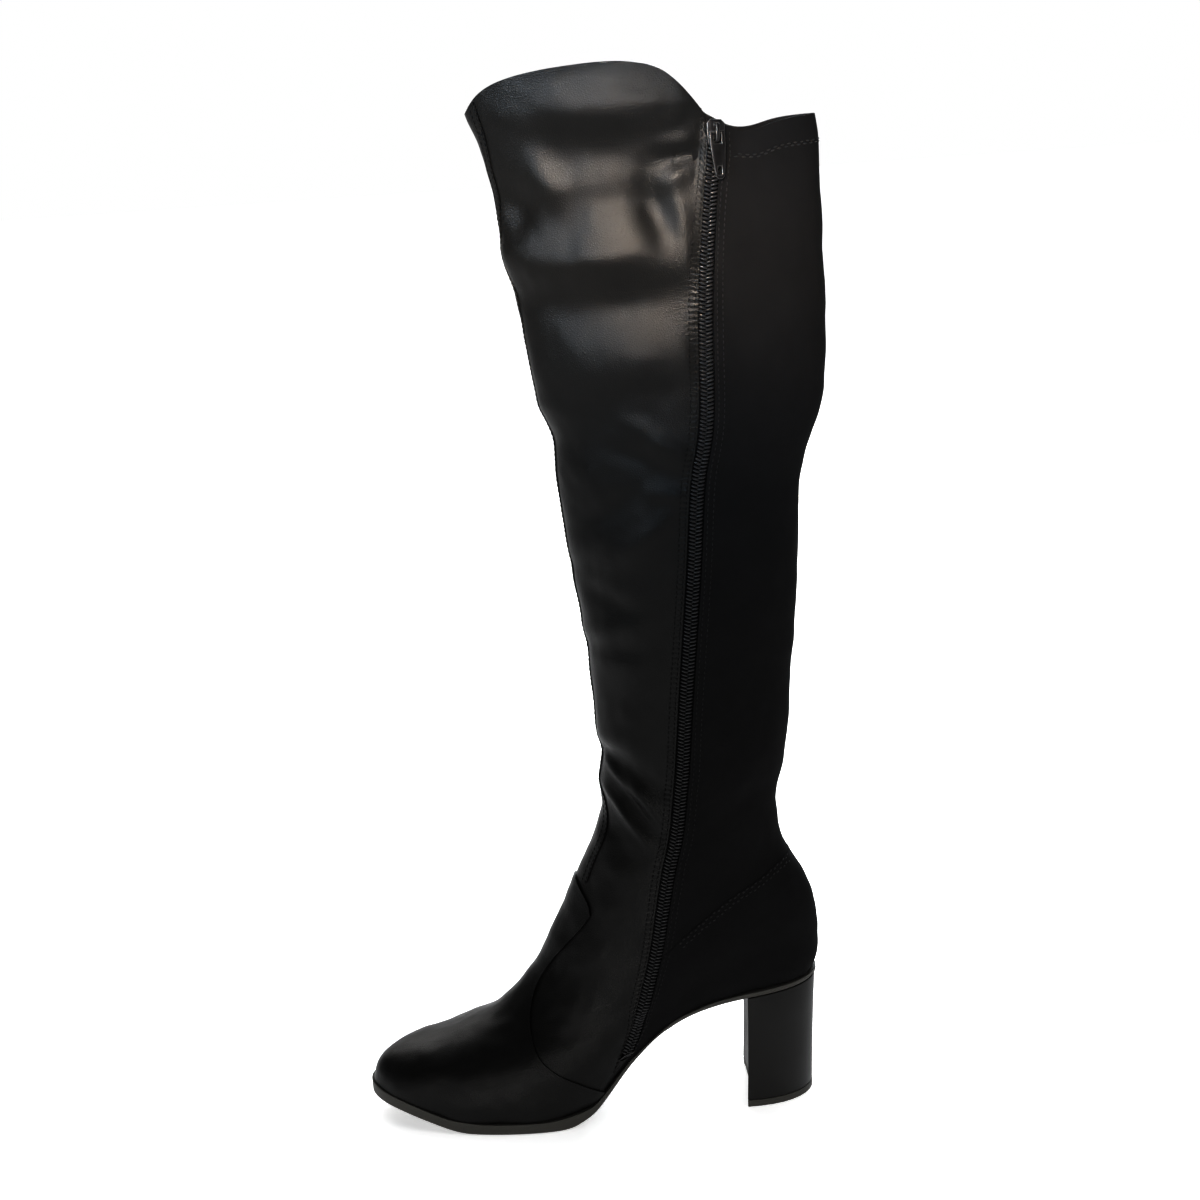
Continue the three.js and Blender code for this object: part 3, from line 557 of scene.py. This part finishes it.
# Folds of the upper, at a place seen from the side, in mm. depth is inwards for a trough and
# negative for a ridge; side is -1 on the inner side, 1 on the outer side and 0 on both.
folds = [
    {"x": 24, "z": 534, "turn": 0, "long": 44, "wide": 9, "depth": -2.2, "side": -1},
    {"x": 36, "z": 511, "turn": -2, "long": 44, "wide": 13, "depth": 3.0, "side": -1},
    {"x": 24, "z": 462, "turn": 3, "long": 36, "wide": 11, "depth": -2.3, "side": -1},
    {"x": 16, "z": 462, "turn": 4, "long": 26, "wide": 6, "depth": -1.1, "side": -1},
    {"x": 26, "z": 490, "turn": 3, "long": 32, "wide": 11, "depth": 2.2, "side": -1},
    {"x": -18, "z": 466, "turn": 2, "long": 15, "wide": 9, "depth": -2.2, "side": -1},
    {"x": -12, "z": 444, "turn": -6, "long": 16, "wide": 8, "depth": 1.4, "side": -1},
    {"x": 30, "z": 440, "turn": 3, "long": 44, "wide": 12, "depth": 2.5, "side": -1},
    {"x": 14, "z": 409, "turn": 6, "long": 46, "wide": 15, "depth": -2.8, "side": -1},
    {"x": -18, "z": 489, "turn": -70, "long": 14, "wide": 9, "depth": 4.0, "side": -1},
    {"x": -2, "z": 501, "turn": -56, "long": 15, "wide": 7, "depth": -2.4, "side": -1},
    {"x": 51, "z": 484, "turn": -74, "long": 17, "wide": 8.5, "depth": 3.8, "side": -1},
    {"x": 63, "z": 480, "turn": -86, "long": 15, "wide": 4.6, "depth": -0.9, "side": -1},
    {"x": 64, "z": 515, "turn": -2, "long": 10, "wide": 3.8, "depth": -1.2, "side": -1},
    {"x": 62, "z": 508.5, "turn": 2, "long": 13, "wide": 3.4, "depth": 1.5, "side": -1},
    {"x": 63, "z": 500, "turn": 28, "long": 9, "wide": 4.0, "depth": -1.4, "side": -1},
    {"x": 44, "z": 374, "turn": -34, "long": 17, "wide": 5, "depth": -1.8, "side": -1},
    {"x": 38, "z": 362, "turn": -30, "long": 20, "wide": 6, "depth": 1.8, "side": -1},
    {"x": 49, "z": 346, "turn": -8, "long": 10, "wide": 4, "depth": -1.4, "side": -1},
    {"x": 20, "z": 337, "turn": 36, "long": 22, "wide": 8, "depth": 1.8, "side": -1},
    {"x": 33, "z": 322, "turn": 38, "long": 24, "wide": 5, "depth": -1.8, "side": -1},
    {"x": 14, "z": 291, "turn": -27, "long": 16, "wide": 5, "depth": 1.3, "side": -1},
    {"x": 22, "z": 276, "turn": 15, "long": 18, "wide": 5, "depth": -1.5, "side": -1},
    {"x": 20, "z": 263, "turn": 4, "long": 16, "wide": 5, "depth": 1.3, "side": -1},
    {"x": 24, "z": 196, "turn": -34, "long": 18, "wide": 6, "depth": 1.8, "side": -1},
    {"x": 12, "z": 195, "turn": -50, "long": 13, "wide": 2.2, "depth": -1.3, "side": -1},
    {"x": 17, "z": 172, "turn": -52, "long": 21, "wide": 2.3, "depth": -1.6, "side": -1},
    {"x": 22, "z": 178, "turn": -53, "long": 19, "wide": 3.4, "depth": 2.0, "side": -1},
    {"x": 28, "z": 182, "turn": -56, "long": 15, "wide": 3.8, "depth": -1.8, "side": -1},
    {"x": 14, "z": 212, "turn": -14, "long": 22, "wide": 7, "depth": -1.4, "side": -1},
    {"x": 13, "z": 158, "turn": -60, "long": 18, "wide": 6, "depth": 1.0, "side": -1},
    {"x": -5, "z": 371, "turn": 0, "long": 14, "wide": 8, "depth": 0.9, "side": 0},
    {"x": -8, "z": 389, "turn": 0, "long": 12, "wide": 7, "depth": -1.0, "side": 0},
    {"x": 1, "z": 306, "turn": 10, "long": 12, "wide": 6, "depth": 1.3, "side": 0},
    {"x": 4, "z": 203, "turn": 0, "long": 12, "wide": 5, "depth": 1.6, "side": 0},
    {"x": 30, "z": 503, "turn": 6, "long": 42, "wide": 13, "depth": 3.6, "side": 1},
    {"x": 24, "z": 452, "turn": -8, "long": 40, "wide": 13, "depth": 2.6, "side": 1},
    {"x": 30, "z": 395, "turn": 14, "long": 34, "wide": 10, "depth": 1.8, "side": 1},
    {"x": 30, "z": 350, "turn": -26, "long": 26, "wide": 7, "depth": 2.0, "side": 1},
    {"x": 24, "z": 292, "turn": 20, "long": 22, "wide": 7, "depth": 1.4, "side": 1},
    {"x": 22, "z": 190, "turn": -46, "long": 22, "wide": 5, "depth": 2.2, "side": 1},
    {"x": 16, "z": 172, "turn": -50, "long": 22, "wide": 3.4, "depth": -1.5, "side": 1},
    {"x": 96, "z": 430, "turn": 70, "long": 40, "wide": 14, "depth": 1.4, "side": -1},
    {"x": 92, "z": 350, "turn": -30, "long": 24, "wide": 10, "depth": 1.4, "side": 0},
    {"x": 74, "z": 300, "turn": 84, "long": 60, "wide": 9, "depth": 0.9, "side": -1},
    {"x": 82, "z": 180, "turn": 30, "long": 18, "wide": 7, "depth": 0.9, "side": 0},
]


foldTurns = [(fold, math.cos(math.radians(fold["turn"])), math.sin(math.radians(fold["turn"])))
             for fold in folds]
# Folds change sides between the two values of "sides" and fade out towards the zip. Waves are the
# scales and depths of the noise between them.
foldSetup = {"sides": (-7.0, 7.0), "zip": (4.0, 10.0), "reach": 9.0,
             "waves": ((48.0, 0.9), (130.0, 0.3)), "puckerAt": 6.0, "puckerWide": 3.4}


def eased(value, limits):
    share = min(max((value - limits[0]) / (limits[1] - limits[0]), 0.0), 1.0)
    return share * share * (3 - 2 * share)


def foldDepth(point, away):
    outer = eased(point.y / mm, foldSetup["sides"])
    share = {-1: 1 - outer, 0: 1.0, 1: outer}
    depth = 0.0
    for fold, turned, raised in foldTurns:
        x = point.x / mm - fold["x"]
        z = point.z / mm - fold["z"]
        along = (x * turned + z * raised) / fold["long"]
        across = (z * turned - x * raised) / fold["wide"]
        spread = along * along + across * across
        if spread < foldSetup["reach"]:
            depth += fold["depth"] * math.exp(-spread) * share[fold["side"]]
    depth += sum(size * noise.noise(point * scale) for scale, size in foldSetup["waves"])
    return depth * eased(abs(away / mm), foldSetup["zip"]) * mm


def foldSkin(piece, outwards):
    mesh = piece.data
    ways = [entry.value for entry in mesh.attributes["zip_away"].data]
    normals = [vert.normal.copy() for vert in mesh.vertices]
    pucker = mesh.attributes.new("pucker", "FLOAT", "POINT").data
    for vert, normal, way in zip(mesh.vertices, normals, ways):
        vert.co -= normal * (foldDepth(vert.co, way) * outwards)
        aside = abs(abs(way / mm) - foldSetup["puckerAt"])
        pucker[vert.index].value = max(0.0, 1.0 - aside / foldSetup["puckerWide"])
    mesh.update()


for piece, levels, outwards in ((leatherFront, 3, 1), (fabricBack, 3, 1), (lining, 2, -1)):
    smoothTo(piece, levels)
    foldSkin(piece, outwards)
print("skin shaped")


# Overlays are cut from the folded skin along their seams, seen from the side, in mm.
vampSetup = {
    "seam": [(-0.3, 15.2), (-16.3, 25.9), (-35.8, 39.5), (-41.8, 55.2), (-38.3, 71.8), (-26.3, 90.0),
             (-12.8, 105.7), (-6.6, 114.5), (-6.3, 121.4), (-13.6, 132.5)],
    "thickness": 0.9 * mm,
    "lift": 0.15 * mm,
}
counterSetup = {
    "seam": [(10.0, 73.0), (32.7, 95.5), (40.9, 103.6), (56.9, 116.4), (70.7, 126.1), (84.2, 132.6),
             (99.2, 139.6), (125.0, 143.0)],
    "thickness": 0.25 * mm,
    "lift": 0.1 * mm,
}


# The points of a smooth curve through the given ones, which are of any dimension.
def smoothLine(points, steps):
    line = []
    last = len(points) - 1
    for i in range(last):
        before, a, b, after = (Vector(points[max(0, min(last, k))]) for k in (i - 1, i, i + 1, i + 2))
        for step in range(steps):
            t = step / steps
            line.append(0.5 * (2 * a + (b - before) * t + (2 * before - 5 * a + 4 * b - after) * t * t
                               + (3 * a - before - 3 * b + after) * t * t * t))
    line.append(Vector(points[last]))
    return line


def insideOutline(x, z, outline):
    inside = False
    for (ax, az), (bx, bz) in zip(outline, outline[1:] + outline[:1]):
        if (az > z) != (bz > z) and x < (bx - ax) * (z - az) / (bz - az) + ax:
            inside = not inside
    return inside


coverSetup = {"reach": 3.0 * mm, "snap": 3.0 * mm, "weld": 0.2 * mm, "aside": 200 * mm, "steps": 6}


# The cut edge of a cover is laid exactly on its seam.
def edgeOnSeam(bm, tree, seam):
    for vert in bm.verts:
        if not vert.is_boundary:
            continue
        here = Vector((vert.co.x, vert.co.z))
        nearest = None
        for a, b in zip(seam, seam[1:]):
            share = min(max((here - a).dot(b - a) / (b - a).length_squared, 0.0), 1.0)
            found = a.lerp(b, share)
            if nearest is None or (found - here).length < (nearest - here).length:
                nearest = found
        side = 1 if vert.co.y > 0 else -1
        start = Vector((nearest.x, side * coverSetup["aside"], nearest.y))
        hit = tree.ray_cast(start, Vector((0, -side, 0)))[0]
        if hit is not None and (hit - vert.co).length < coverSetup["snap"]:
            vert.co = hit


def cover(name, base, setup, closing):
    seam = smoothLine([(x * mm, z * mm) for x, z in setup["seam"]], coverSetup["steps"])
    bm = bmesh.new()
    bm.from_mesh(base)
    tree = BVHTree.FromBMesh(bm)
    for a, b in zip(seam, seam[1:]):
        middle = (a + b) / 2
        reach = (b - a).length / 2 + coverSetup["reach"]
        near = [face for face in bm.faces if (face.calc_center_median().xz - middle).length < reach]
        parts = set(near)
        for face in near:
            parts.update(face.edges)
            parts.update(face.verts)
        bmesh.ops.bisect_plane(bm, geom=list(parts), dist=weld, plane_co=(a.x, 0, a.y),
                               plane_no=(b.y - a.y, 0, a.x - b.x))
    outline = [tuple(point) for point in seam] + [(x * mm, z * mm) for x, z in closing]
    outside = [face for face in bm.faces if not insideOutline(*face.calc_center_median().xz, outline)]
    bmesh.ops.delete(bm, geom=outside, context="FACES")
    edgeOnSeam(bm, tree, seam)
    bmesh.ops.remove_doubles(bm, verts=bm.verts, dist=coverSetup["weld"])
    bm.normal_update()
    for vert in bm.verts:
        vert.co += vert.normal * setup["lift"]
    return newPiece(name, bm)


vampClosing = [(-60, 170), (-300, 170), (-300, -10), (-0.3, -10)]
counterClosing = [(160, 143), (160, -10), (-40, -10), (-40, 73)]
leatherVamp = cover("leather_vamp", leatherFront.data, vampSetup, vampClosing)
fabricCounter = cover("fabric_counter", fabricBack.data, counterSetup, counterClosing)
print("covers cut")


smoothAngle = math.radians(40)
panelWall = 1.35 * mm
liningWall = 0.55 * mm


def thicken(piece, thickness, offset):
    modifier = piece.modifiers.new("wall", "SOLIDIFY")
    modifier.thickness = thickness
    modifier.offset = offset
    applyAll(piece)
    for polygon in piece.data.polygons:
        polygon.use_smooth = True
    pick(piece)
    bpy.ops.object.shade_smooth_by_angle(angle=smoothAngle)


for piece, thickness in ((leatherFront, panelWall), (fabricBack, panelWall), (lining, liningWall)):
    thicken(piece, thickness, -1.0)
thicken(leatherVamp, vampSetup["thickness"], 1.0)
thicken(fabricCounter, counterSetup["thickness"], 1.0)
finishPiece(leatherFront, "boot", "leather", ["upper"])
finishPiece(fabricBack, "boot", "fabric", ["upper"])
finishPiece(lining, "boot", "lining", ["upper"])
finishPiece(leatherVamp, "boot", "leather", ["vamp"])
finishPiece(fabricCounter, "boot", "fabric", ["counter"])


# Sole, heel and small metal pieces keep the form of their solids, with their edges rounded.
hardPieces = {
    "rubber_outsole": {"node": "outsole", "edge": 0.6, "finish": "sole", "slot": "sole_rubber",
                       "body": "boot", "curved": True},
    "block_heel": {"node": "heel", "edge": 0.35, "finish": "heel", "slot": "sole_rubber",
                   "body": "boot"},
    "heel_top_piece": {"node": "top_piece", "edge": 0.4, "finish": "sole", "slot": "sole_rubber",
                       "body": "boot"},
    "inner_sole": {"node": "insole", "edge": 0.6, "finish": "lining", "slot": "lining",
                   "body": "boot"},
    "slider": {"node": "zip_slider", "edge": 0.3, "finish": "metal", "slot": "dark_metal",
               "body": "boot"},
    "pull": {"node": "zip_pull", "edge": 0.28, "finish": "metal", "slot": "dark_metal",
             "body": "pull_tab"},
    "bottom_stop": {"node": "zip_stop", "edge": 0.25, "finish": "metal", "slot": "dark_metal",
                    "body": "boot"},
}
hardCrease = math.radians(38)
mergeSetup = {"flat": math.radians(0.5), "faces": math.radians(25), "shapes": math.radians(60)}


# A subdivision that holds the sharp rims and turns the flats of the outline into one curve.
def curveOutline(piece):
    bm = bmesh.new()
    bm.from_mesh(piece.data)
    crease = bm.edges.layers.float.new("crease_edge")
    for edge in bm.edges:
        edge[crease] = float(edge.calc_face_angle(0.0) > hardCrease)
    bm.to_mesh(piece.data)
    bm.free()
    smoothTo(piece, 2)


# A merged copy of a solid with rounded edges. The faces of the rounding are marked as its rim.
def roundedCopy(name, setup):
    piece = bpy.data.objects.new(name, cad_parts[setup["node"]].data.copy())
    bpy.context.scene.collection.objects.link(piece)
    pick(piece)
    bpy.ops.object.mode_set(mode="EDIT")
    bpy.ops.mesh.select_all(action="SELECT")
    bpy.ops.mesh.remove_doubles(threshold=weld)
    bpy.ops.mesh.dissolve_limited(angle_limit=mergeSetup["flat"])
    bpy.ops.mesh.select_all(action="SELECT")
    bpy.ops.mesh.tris_convert_to_quads(face_threshold=mergeSetup["faces"],
                                       shape_threshold=mergeSetup["shapes"])
    bpy.ops.object.mode_set(mode="OBJECT")
    if setup.get("curved"):
        curveOutline(piece)
    bevel = piece.modifiers.new("edges", "BEVEL")
    bevel.width = setup["edge"] * mm
    bevel.segments = 3
    bevel.limit_method = "ANGLE"
    bevel.angle_limit = hardCrease
    piece.data.materials.append(finishes[setup["finish"]])
    bevel.material = 1
    applyAll(piece)
    rim = piece.data.attributes.new("rim", "FLOAT", "FACE").data
    for polygon in piece.data.polygons:
        rim[polygon.index].value = float(polygon.material_index == 1)
        polygon.material_index = 0
        polygon.use_smooth = True
    bpy.ops.object.shade_smooth_by_angle(angle=hardCrease)
    finishPiece(piece, setup["body"], setup["finish"], [setup["node"]])


for name, setup in hardPieces.items():
    roundedCopy(name, setup)

barRise = 0.28 / 0.96


# The bar at the foot of the zip lies across it with a slight rise, seen from the side.
def levelBar(piece):
    middle = sum((Vector(corner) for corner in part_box("zip_stop")), Vector()) / 2
    out = zipWays(outerRows, 1)[2]
    own = max((vert.co - middle for vert in piece.data.vertices), key=lambda reach: reach.length)
    own = (own - out * own.dot(out)).normalized()
    level = Vector((1.0, -(out.x + barRise * out.z) / out.y, barRise)).normalized()
    turned = own.rotation_difference(level if own.dot(level) > 0 else -level)
    for vert in piece.data.vertices:
        vert.co = middle + turned @ (vert.co - middle)
    piece.data.update()


levelBar(bpy.data.objects["bottom_stop"])
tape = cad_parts["zip_tape"]
tape.data.materials.clear()
tape.data.materials.append(finishes["fabric"])


# Path of the zip, with its directions, from the slot's two edges.
def zipPath():
    edges = [(row[zipColumn], row[zipColumn + 1]) for row in outerRows[1:]]
    middles = [(a + b) / 2 for a, b in edges]
    across = [zipWays(outerRows, i)[1] for i in range(1, len(outerRows))]
    return smoothLine(middles, 10), smoothLine(across, 10)


# Places at even steps along a line: the index of the part and the share along it.
def evenPlaces(line, spacing, start=0.0):
    places = []
    want = start
    passed = 0.0
    for i, (a, b) in enumerate(zip(line, line[1:])):
        length = (b - a).length
        while passed + length >= want:
            places.append((i, (want - passed) / length))
            want += spacing
        passed += length
    return places


# One piece of many copies of a model.
def copies(name, model, matrices):
    points = []
    faces = []
    base = [vert.co.copy() for vert in model.vertices]
    shapes = [tuple(polygon.vertices) for polygon in model.polygons]
    for matrix in matrices:
        first = len(points)
        points.extend(matrix @ point for point in base)
        faces.extend(tuple(first + k for k in shape) for shape in shapes)
    mesh = bpy.data.meshes.new(name)
    mesh.from_pydata(points, [], faces)
    mesh.update()
    for polygon in mesh.polygons:
        polygon.use_smooth = True
    piece = bpy.data.objects.new(name, mesh)
    bpy.context.scene.collection.objects.link(piece)
    return piece


# A drawn-out bead with its poles at its two ends.
def capsule(length, width, height, segments, rings):
    clearSelection()
    bpy.ops.mesh.primitive_uv_sphere_add(segments=segments, ring_count=rings, radius=0.5,
                                         rotation=(0, math.pi / 2, 0))
    model = bpy.context.object
    bpy.ops.object.transform_apply(location=False, rotation=True, scale=False)
    model.scale = (length, width, height)
    bpy.ops.object.transform_apply(location=False, rotation=False, scale=True)
    mesh = model.data.copy()
    bpy.data.objects.remove(model)
    return mesh


def standing(place, along, out):
    side = out.cross(along).normalized()
    out = along.cross(side).normalized()
    turned = Matrix((along.normalized(), side, out)).transposed().to_4x4()
    return Matrix.Translation(place) @ turned


chainSetup = {"pitch": 1.92, "reach": 3.9, "width": 1.35, "height": 1.7, "slant": 16.0, "sink": -0.5,
              "offset": 1.5, "below": 1.5, "clear": 0.5}


def buildChain():
    middles, acrosses = zipPath()
    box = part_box("zip_chain")
    lowest = box[0].z - chainSetup["below"] * mm
    highest = box[1].z - chainSetup["clear"] * mm
    pitch = chainSetup["pitch"] * mm
    matrices = []
    for side, start in ((-1, 0.0), (1, pitch / 2)):
        for i, t in evenPlaces(middles, pitch, start):
            place = middles[i].lerp(middles[i + 1], t)
            if not lowest < place.z < highest:
                continue
            along = (middles[i + 1] - middles[i]).normalized()
            across = acrosses[i].lerp(acrosses[i + 1], t).normalized()
            out = across.cross(along).normalized()
            across = along.cross(out)
            place = place + across * (side * chainSetup["offset"] * mm) + out * (chainSetup["sink"] * mm)
            lean = Matrix.Rotation(math.radians(side * chainSetup["slant"]), 3, out)
            matrices.append(standing(place, lean @ across, out))
    tooth = capsule(chainSetup["reach"] * mm, chainSetup["width"] * mm, chainSetup["height"] * mm, 8, 6)
    chain = copies("zip_coil", tooth, matrices)
    finishPiece(chain, "boot", "nylon", ["zip_chain"])


buildChain()


# Stitching, laid on the outermost skin
seen = [BVHTree.FromObject(piece, bpy.context.evaluated_depsgraph_get())
        for piece in (leatherFront, fabricBack, leatherVamp, fabricCounter)]
castSetup = {"above": 12 * mm, "depth": 30 * mm, "aside": 90 * mm, "across": 200 * mm, "past": 20 * mm}
threadLift = 0.05 * mm
longestGap = 8 * mm


def onSkin(place, out):
    best = None
    for tree in seen:
        start = place + out * castSetup["above"]
        hit, normal, index, distance = tree.ray_cast(start, -out, castSetup["depth"])
        if hit is not None and (best is None or distance < best[2]):
            best = (hit, normal, distance)
    return best


def onSide(x, z, side):
    place = Vector((x, side * castSetup["aside"], z))
    best = None
    for tree in seen:
        hit, normal, index, distance = tree.ray_cast(place, Vector((0, -side, 0)), castSetup["across"])
        nearer = hit is not None and (best is None or distance < best[2])
        if nearer and side * hit.y > -castSetup["past"]:
            best = (hit, normal, distance)
    return best


stitchSetup = {
    # The near-black thread of the leather stitches paints the shade of their stitch holes.
    "leather_stitches": {"length": 1.9, "spacing": 2.7, "width": 0.6, "height": 0.5, "sway": 0.0,
                         "finish": "hole_shade_thread", "slot": "leather"},
    "stretch_stitches": {"length": 1.7, "spacing": 2.8, "width": 0.55, "height": 0.45, "sway": 0.0,
                         "finish": "thread", "slot": "stretch_fabric"},
    "hem_stitches": {"length": 2.2, "spacing": 1.9, "width": 0.8, "height": 0.7, "sway": 0.6,
                     "finish": "light_thread", "slot": "stretch_fabric"},
    "counter_stitches": {"length": 1.7, "spacing": 2.7, "width": 1.0, "height": 0.8, "sway": 0.3,
                         "finish": "light_thread", "slot": "stretch_fabric"},
}


# A row of stitches. Sway sets every other one to the other side of the row.
def stitchAlong(found, setup):
    line = [hit for hit, normal, distance in found]
    matrices = []
    for count, (i, t) in enumerate(evenPlaces(line, setup["spacing"] * mm)):
        along = line[i + 1] - line[i]
        if along.length > longestGap:
            continue
        normal = found[i][1].lerp(found[i + 1][1], t).normalized()
        sideways = normal.cross(along).normalized() * (setup["sway"] * mm * (1 if count % 2 else -1))
        place = line[i].lerp(line[i + 1], t) + sideways + normal * threadLift
        matrices.append(standing(place, along.normalized(), normal))
    return matrices


# A row beside a column of the skin's grid, at a distance from it towards another column.
def gridRow(column, towards, away):
    line = []
    for row in outerRows[1:]:
        step = row[towards] - row[column]
        line.append(row[column] + step.normalized() * (away * mm))
    found = []
    for point in smoothLine(line, 4):
        out = Vector((0, -1, 0)) if point.y < 0 else Vector((0, 1, 0))
        hit = onSkin(point, out)
        if hit:
            found.append(hit)
    return found


def offsetLine(points, away):
    moved = []
    for i, point in enumerate(points):
        along = points[min(i + 1, len(points) - 1)] - points[max(i - 1, 0)]
        moved.append(point + Vector((along.y, -along.x)).normalized() * away)
    return moved


def sideRow(seam, away, side):
    line = offsetLine(smoothLine([(x * mm, z * mm) for x, z in seam], 8), away * mm)
    return [hit for hit in (onSide(point.x, point.y, side) for point in line) if hit]


# The band over the front seam, by its distance round from the front line. It lies on the inner side
# at the collar, meets the front line at "meets", and leaves it again from "turns" on, over the height
# "fade", until it ends at the tab of the vamp.
frontSeam = {"top": 12.0, "meets": 478.0, "full": 533.0, "rise": 0.8, "ankle": 12.0, "turns": 186.0,
             "fade": 24.0, "foot": 105.0, "ends": 131.5, "width": 4.4, "thickness": 0.5,
             "stitches": 0.62, "firstRow": 8}


def roundFrom(row, distance):
    column = 0
    while distance > (row[column + 1] - row[column]).length:
        distance -= (row[column + 1] - row[column]).length
        column += 1
    step = (row[column + 1] - row[column]).normalized()
    return row[column] + step * distance, Vector((step.y, -step.x, 0.0)).normalized()


def frontLine():
    places = []
    outs = []
    for row in outerRows[frontSeam["firstRow"]:]:
        height = row[0].z / mm
        if height < frontSeam["foot"]:
            continue
        climb = (height - frontSeam["meets"]) / (frontSeam["full"] - frontSeam["meets"])
        share = max(0.0, climb) ** frontSeam["rise"]
        low = min(max((frontSeam["turns"] - height) / frontSeam["fade"], 0.0), 1.0)
        place, out = roundFrom(row, (frontSeam["top"] * share + frontSeam["ankle"] * low) * mm)
        places.append(place)
        outs.append(Vector((-1.0, 0.0, 0.0)) if share + low == 0.0 else out)
    return smoothLine(places, 6), smoothLine(outs, 6)


def buildFrontSeam():
    line, outs = frontLine()
    strips = {-1: [], 0: [], 1: []}
    for i, point in enumerate(line):
        out = outs[i].normalized()
        along = (line[min(i + 1, len(line) - 1)] - line[max(i - 1, 0)]).normalized()
        across = along.cross(out).normalized()
        for side in strips:
            hit = onSkin(point + across * (side * frontSeam["width"] / 2 * mm), out)
            strips[side].append(hit if point.z > frontSeam["ends"] * mm else None)
    bm = bmesh.new()
    last = None
    for k in range(len(line)):
        if not all(strips[side][k] for side in strips):
            last = None
            continue
        hits = [strips[side][k] for side in (-1, 0, 1)]
        verts = [bm.verts.new(place + normal * threadLift) for place, normal, distance in hits]
        if last:
            for m in (0, 1):
                bm.faces.new((last[m], last[m + 1], verts[m + 1], verts[m]))
        last = verts
    bmesh.ops.recalc_face_normals(bm, faces=bm.faces)
    if sum(face.normal.x for face in bm.faces) > 0:
        bmesh.ops.reverse_faces(bm, faces=bm.faces)
    band = newPiece("front_seam", bm)
    thicken(band, frontSeam["thickness"] * mm, 1.0)
    finishPiece(band, "boot", "leather")
    stitchRows = []
    for side in (-1, 1):
        row = []
        for middle, edge in zip(strips[0], strips[side]):
            if middle and edge:
                place = middle[0].lerp(edge[0], frontSeam["stitches"])
                row.append((place + edge[1] * frontSeam["thickness"] * mm, edge[1], 0.0))
        stitchRows.append(row)
    return stitchRows


hemShare = 0.13  # of the uppermost cells of the grid, up to the hem's stitches


def hemRow():
    low, high = outerRows[-2], outerRows[-1]
    columns = range(zipColumn + 2, mirrorColumn)
    line = smoothLine([low[j].lerp(high[j], hemShare) for j in columns], 5)
    found = []
    for i, point in enumerate(line):
        across = line[min(i + 1, len(line) - 1)] - line[max(i - 1, 0)]
        out = across.cross(Vector((0, 0, 1))).normalized()
        hit = onSkin(point, out)
        if hit:
            found.append(hit)
    return found


threadRows = {"leather_stitches": buildFrontSeam(), "stretch_stitches": [],
              "hem_stitches": [hemRow()], "counter_stitches": []}
for away in (1.3, 4.2):
    threadRows["leather_stitches"].append(gridRow(zipColumn, zipColumn - 1, away))
    threadRows["stretch_stitches"].append(gridRow(zipColumn + 1, zipColumn + 2, away + 0.4))
    threadRows["leather_stitches"].append(gridRow(mirrorColumn + 1, mirrorColumn + 2, away - 0.2))
for side in (-1, 1):
    for away in (0.8, 3.4):
        threadRows["counter_stitches"].append(sideRow(counterSetup["seam"][2:], away, side))
for name, setup in stitchSetup.items():
    model = capsule(setup["length"] * mm, setup["width"] * mm, setup["height"] * mm, 6, 5)
    matrices = []
    for row in threadRows[name]:
        matrices.extend(stitchAlong(row, setup))
    finishPiece(copies(name, model, matrices), "boot", setup["finish"])
print("stitched")
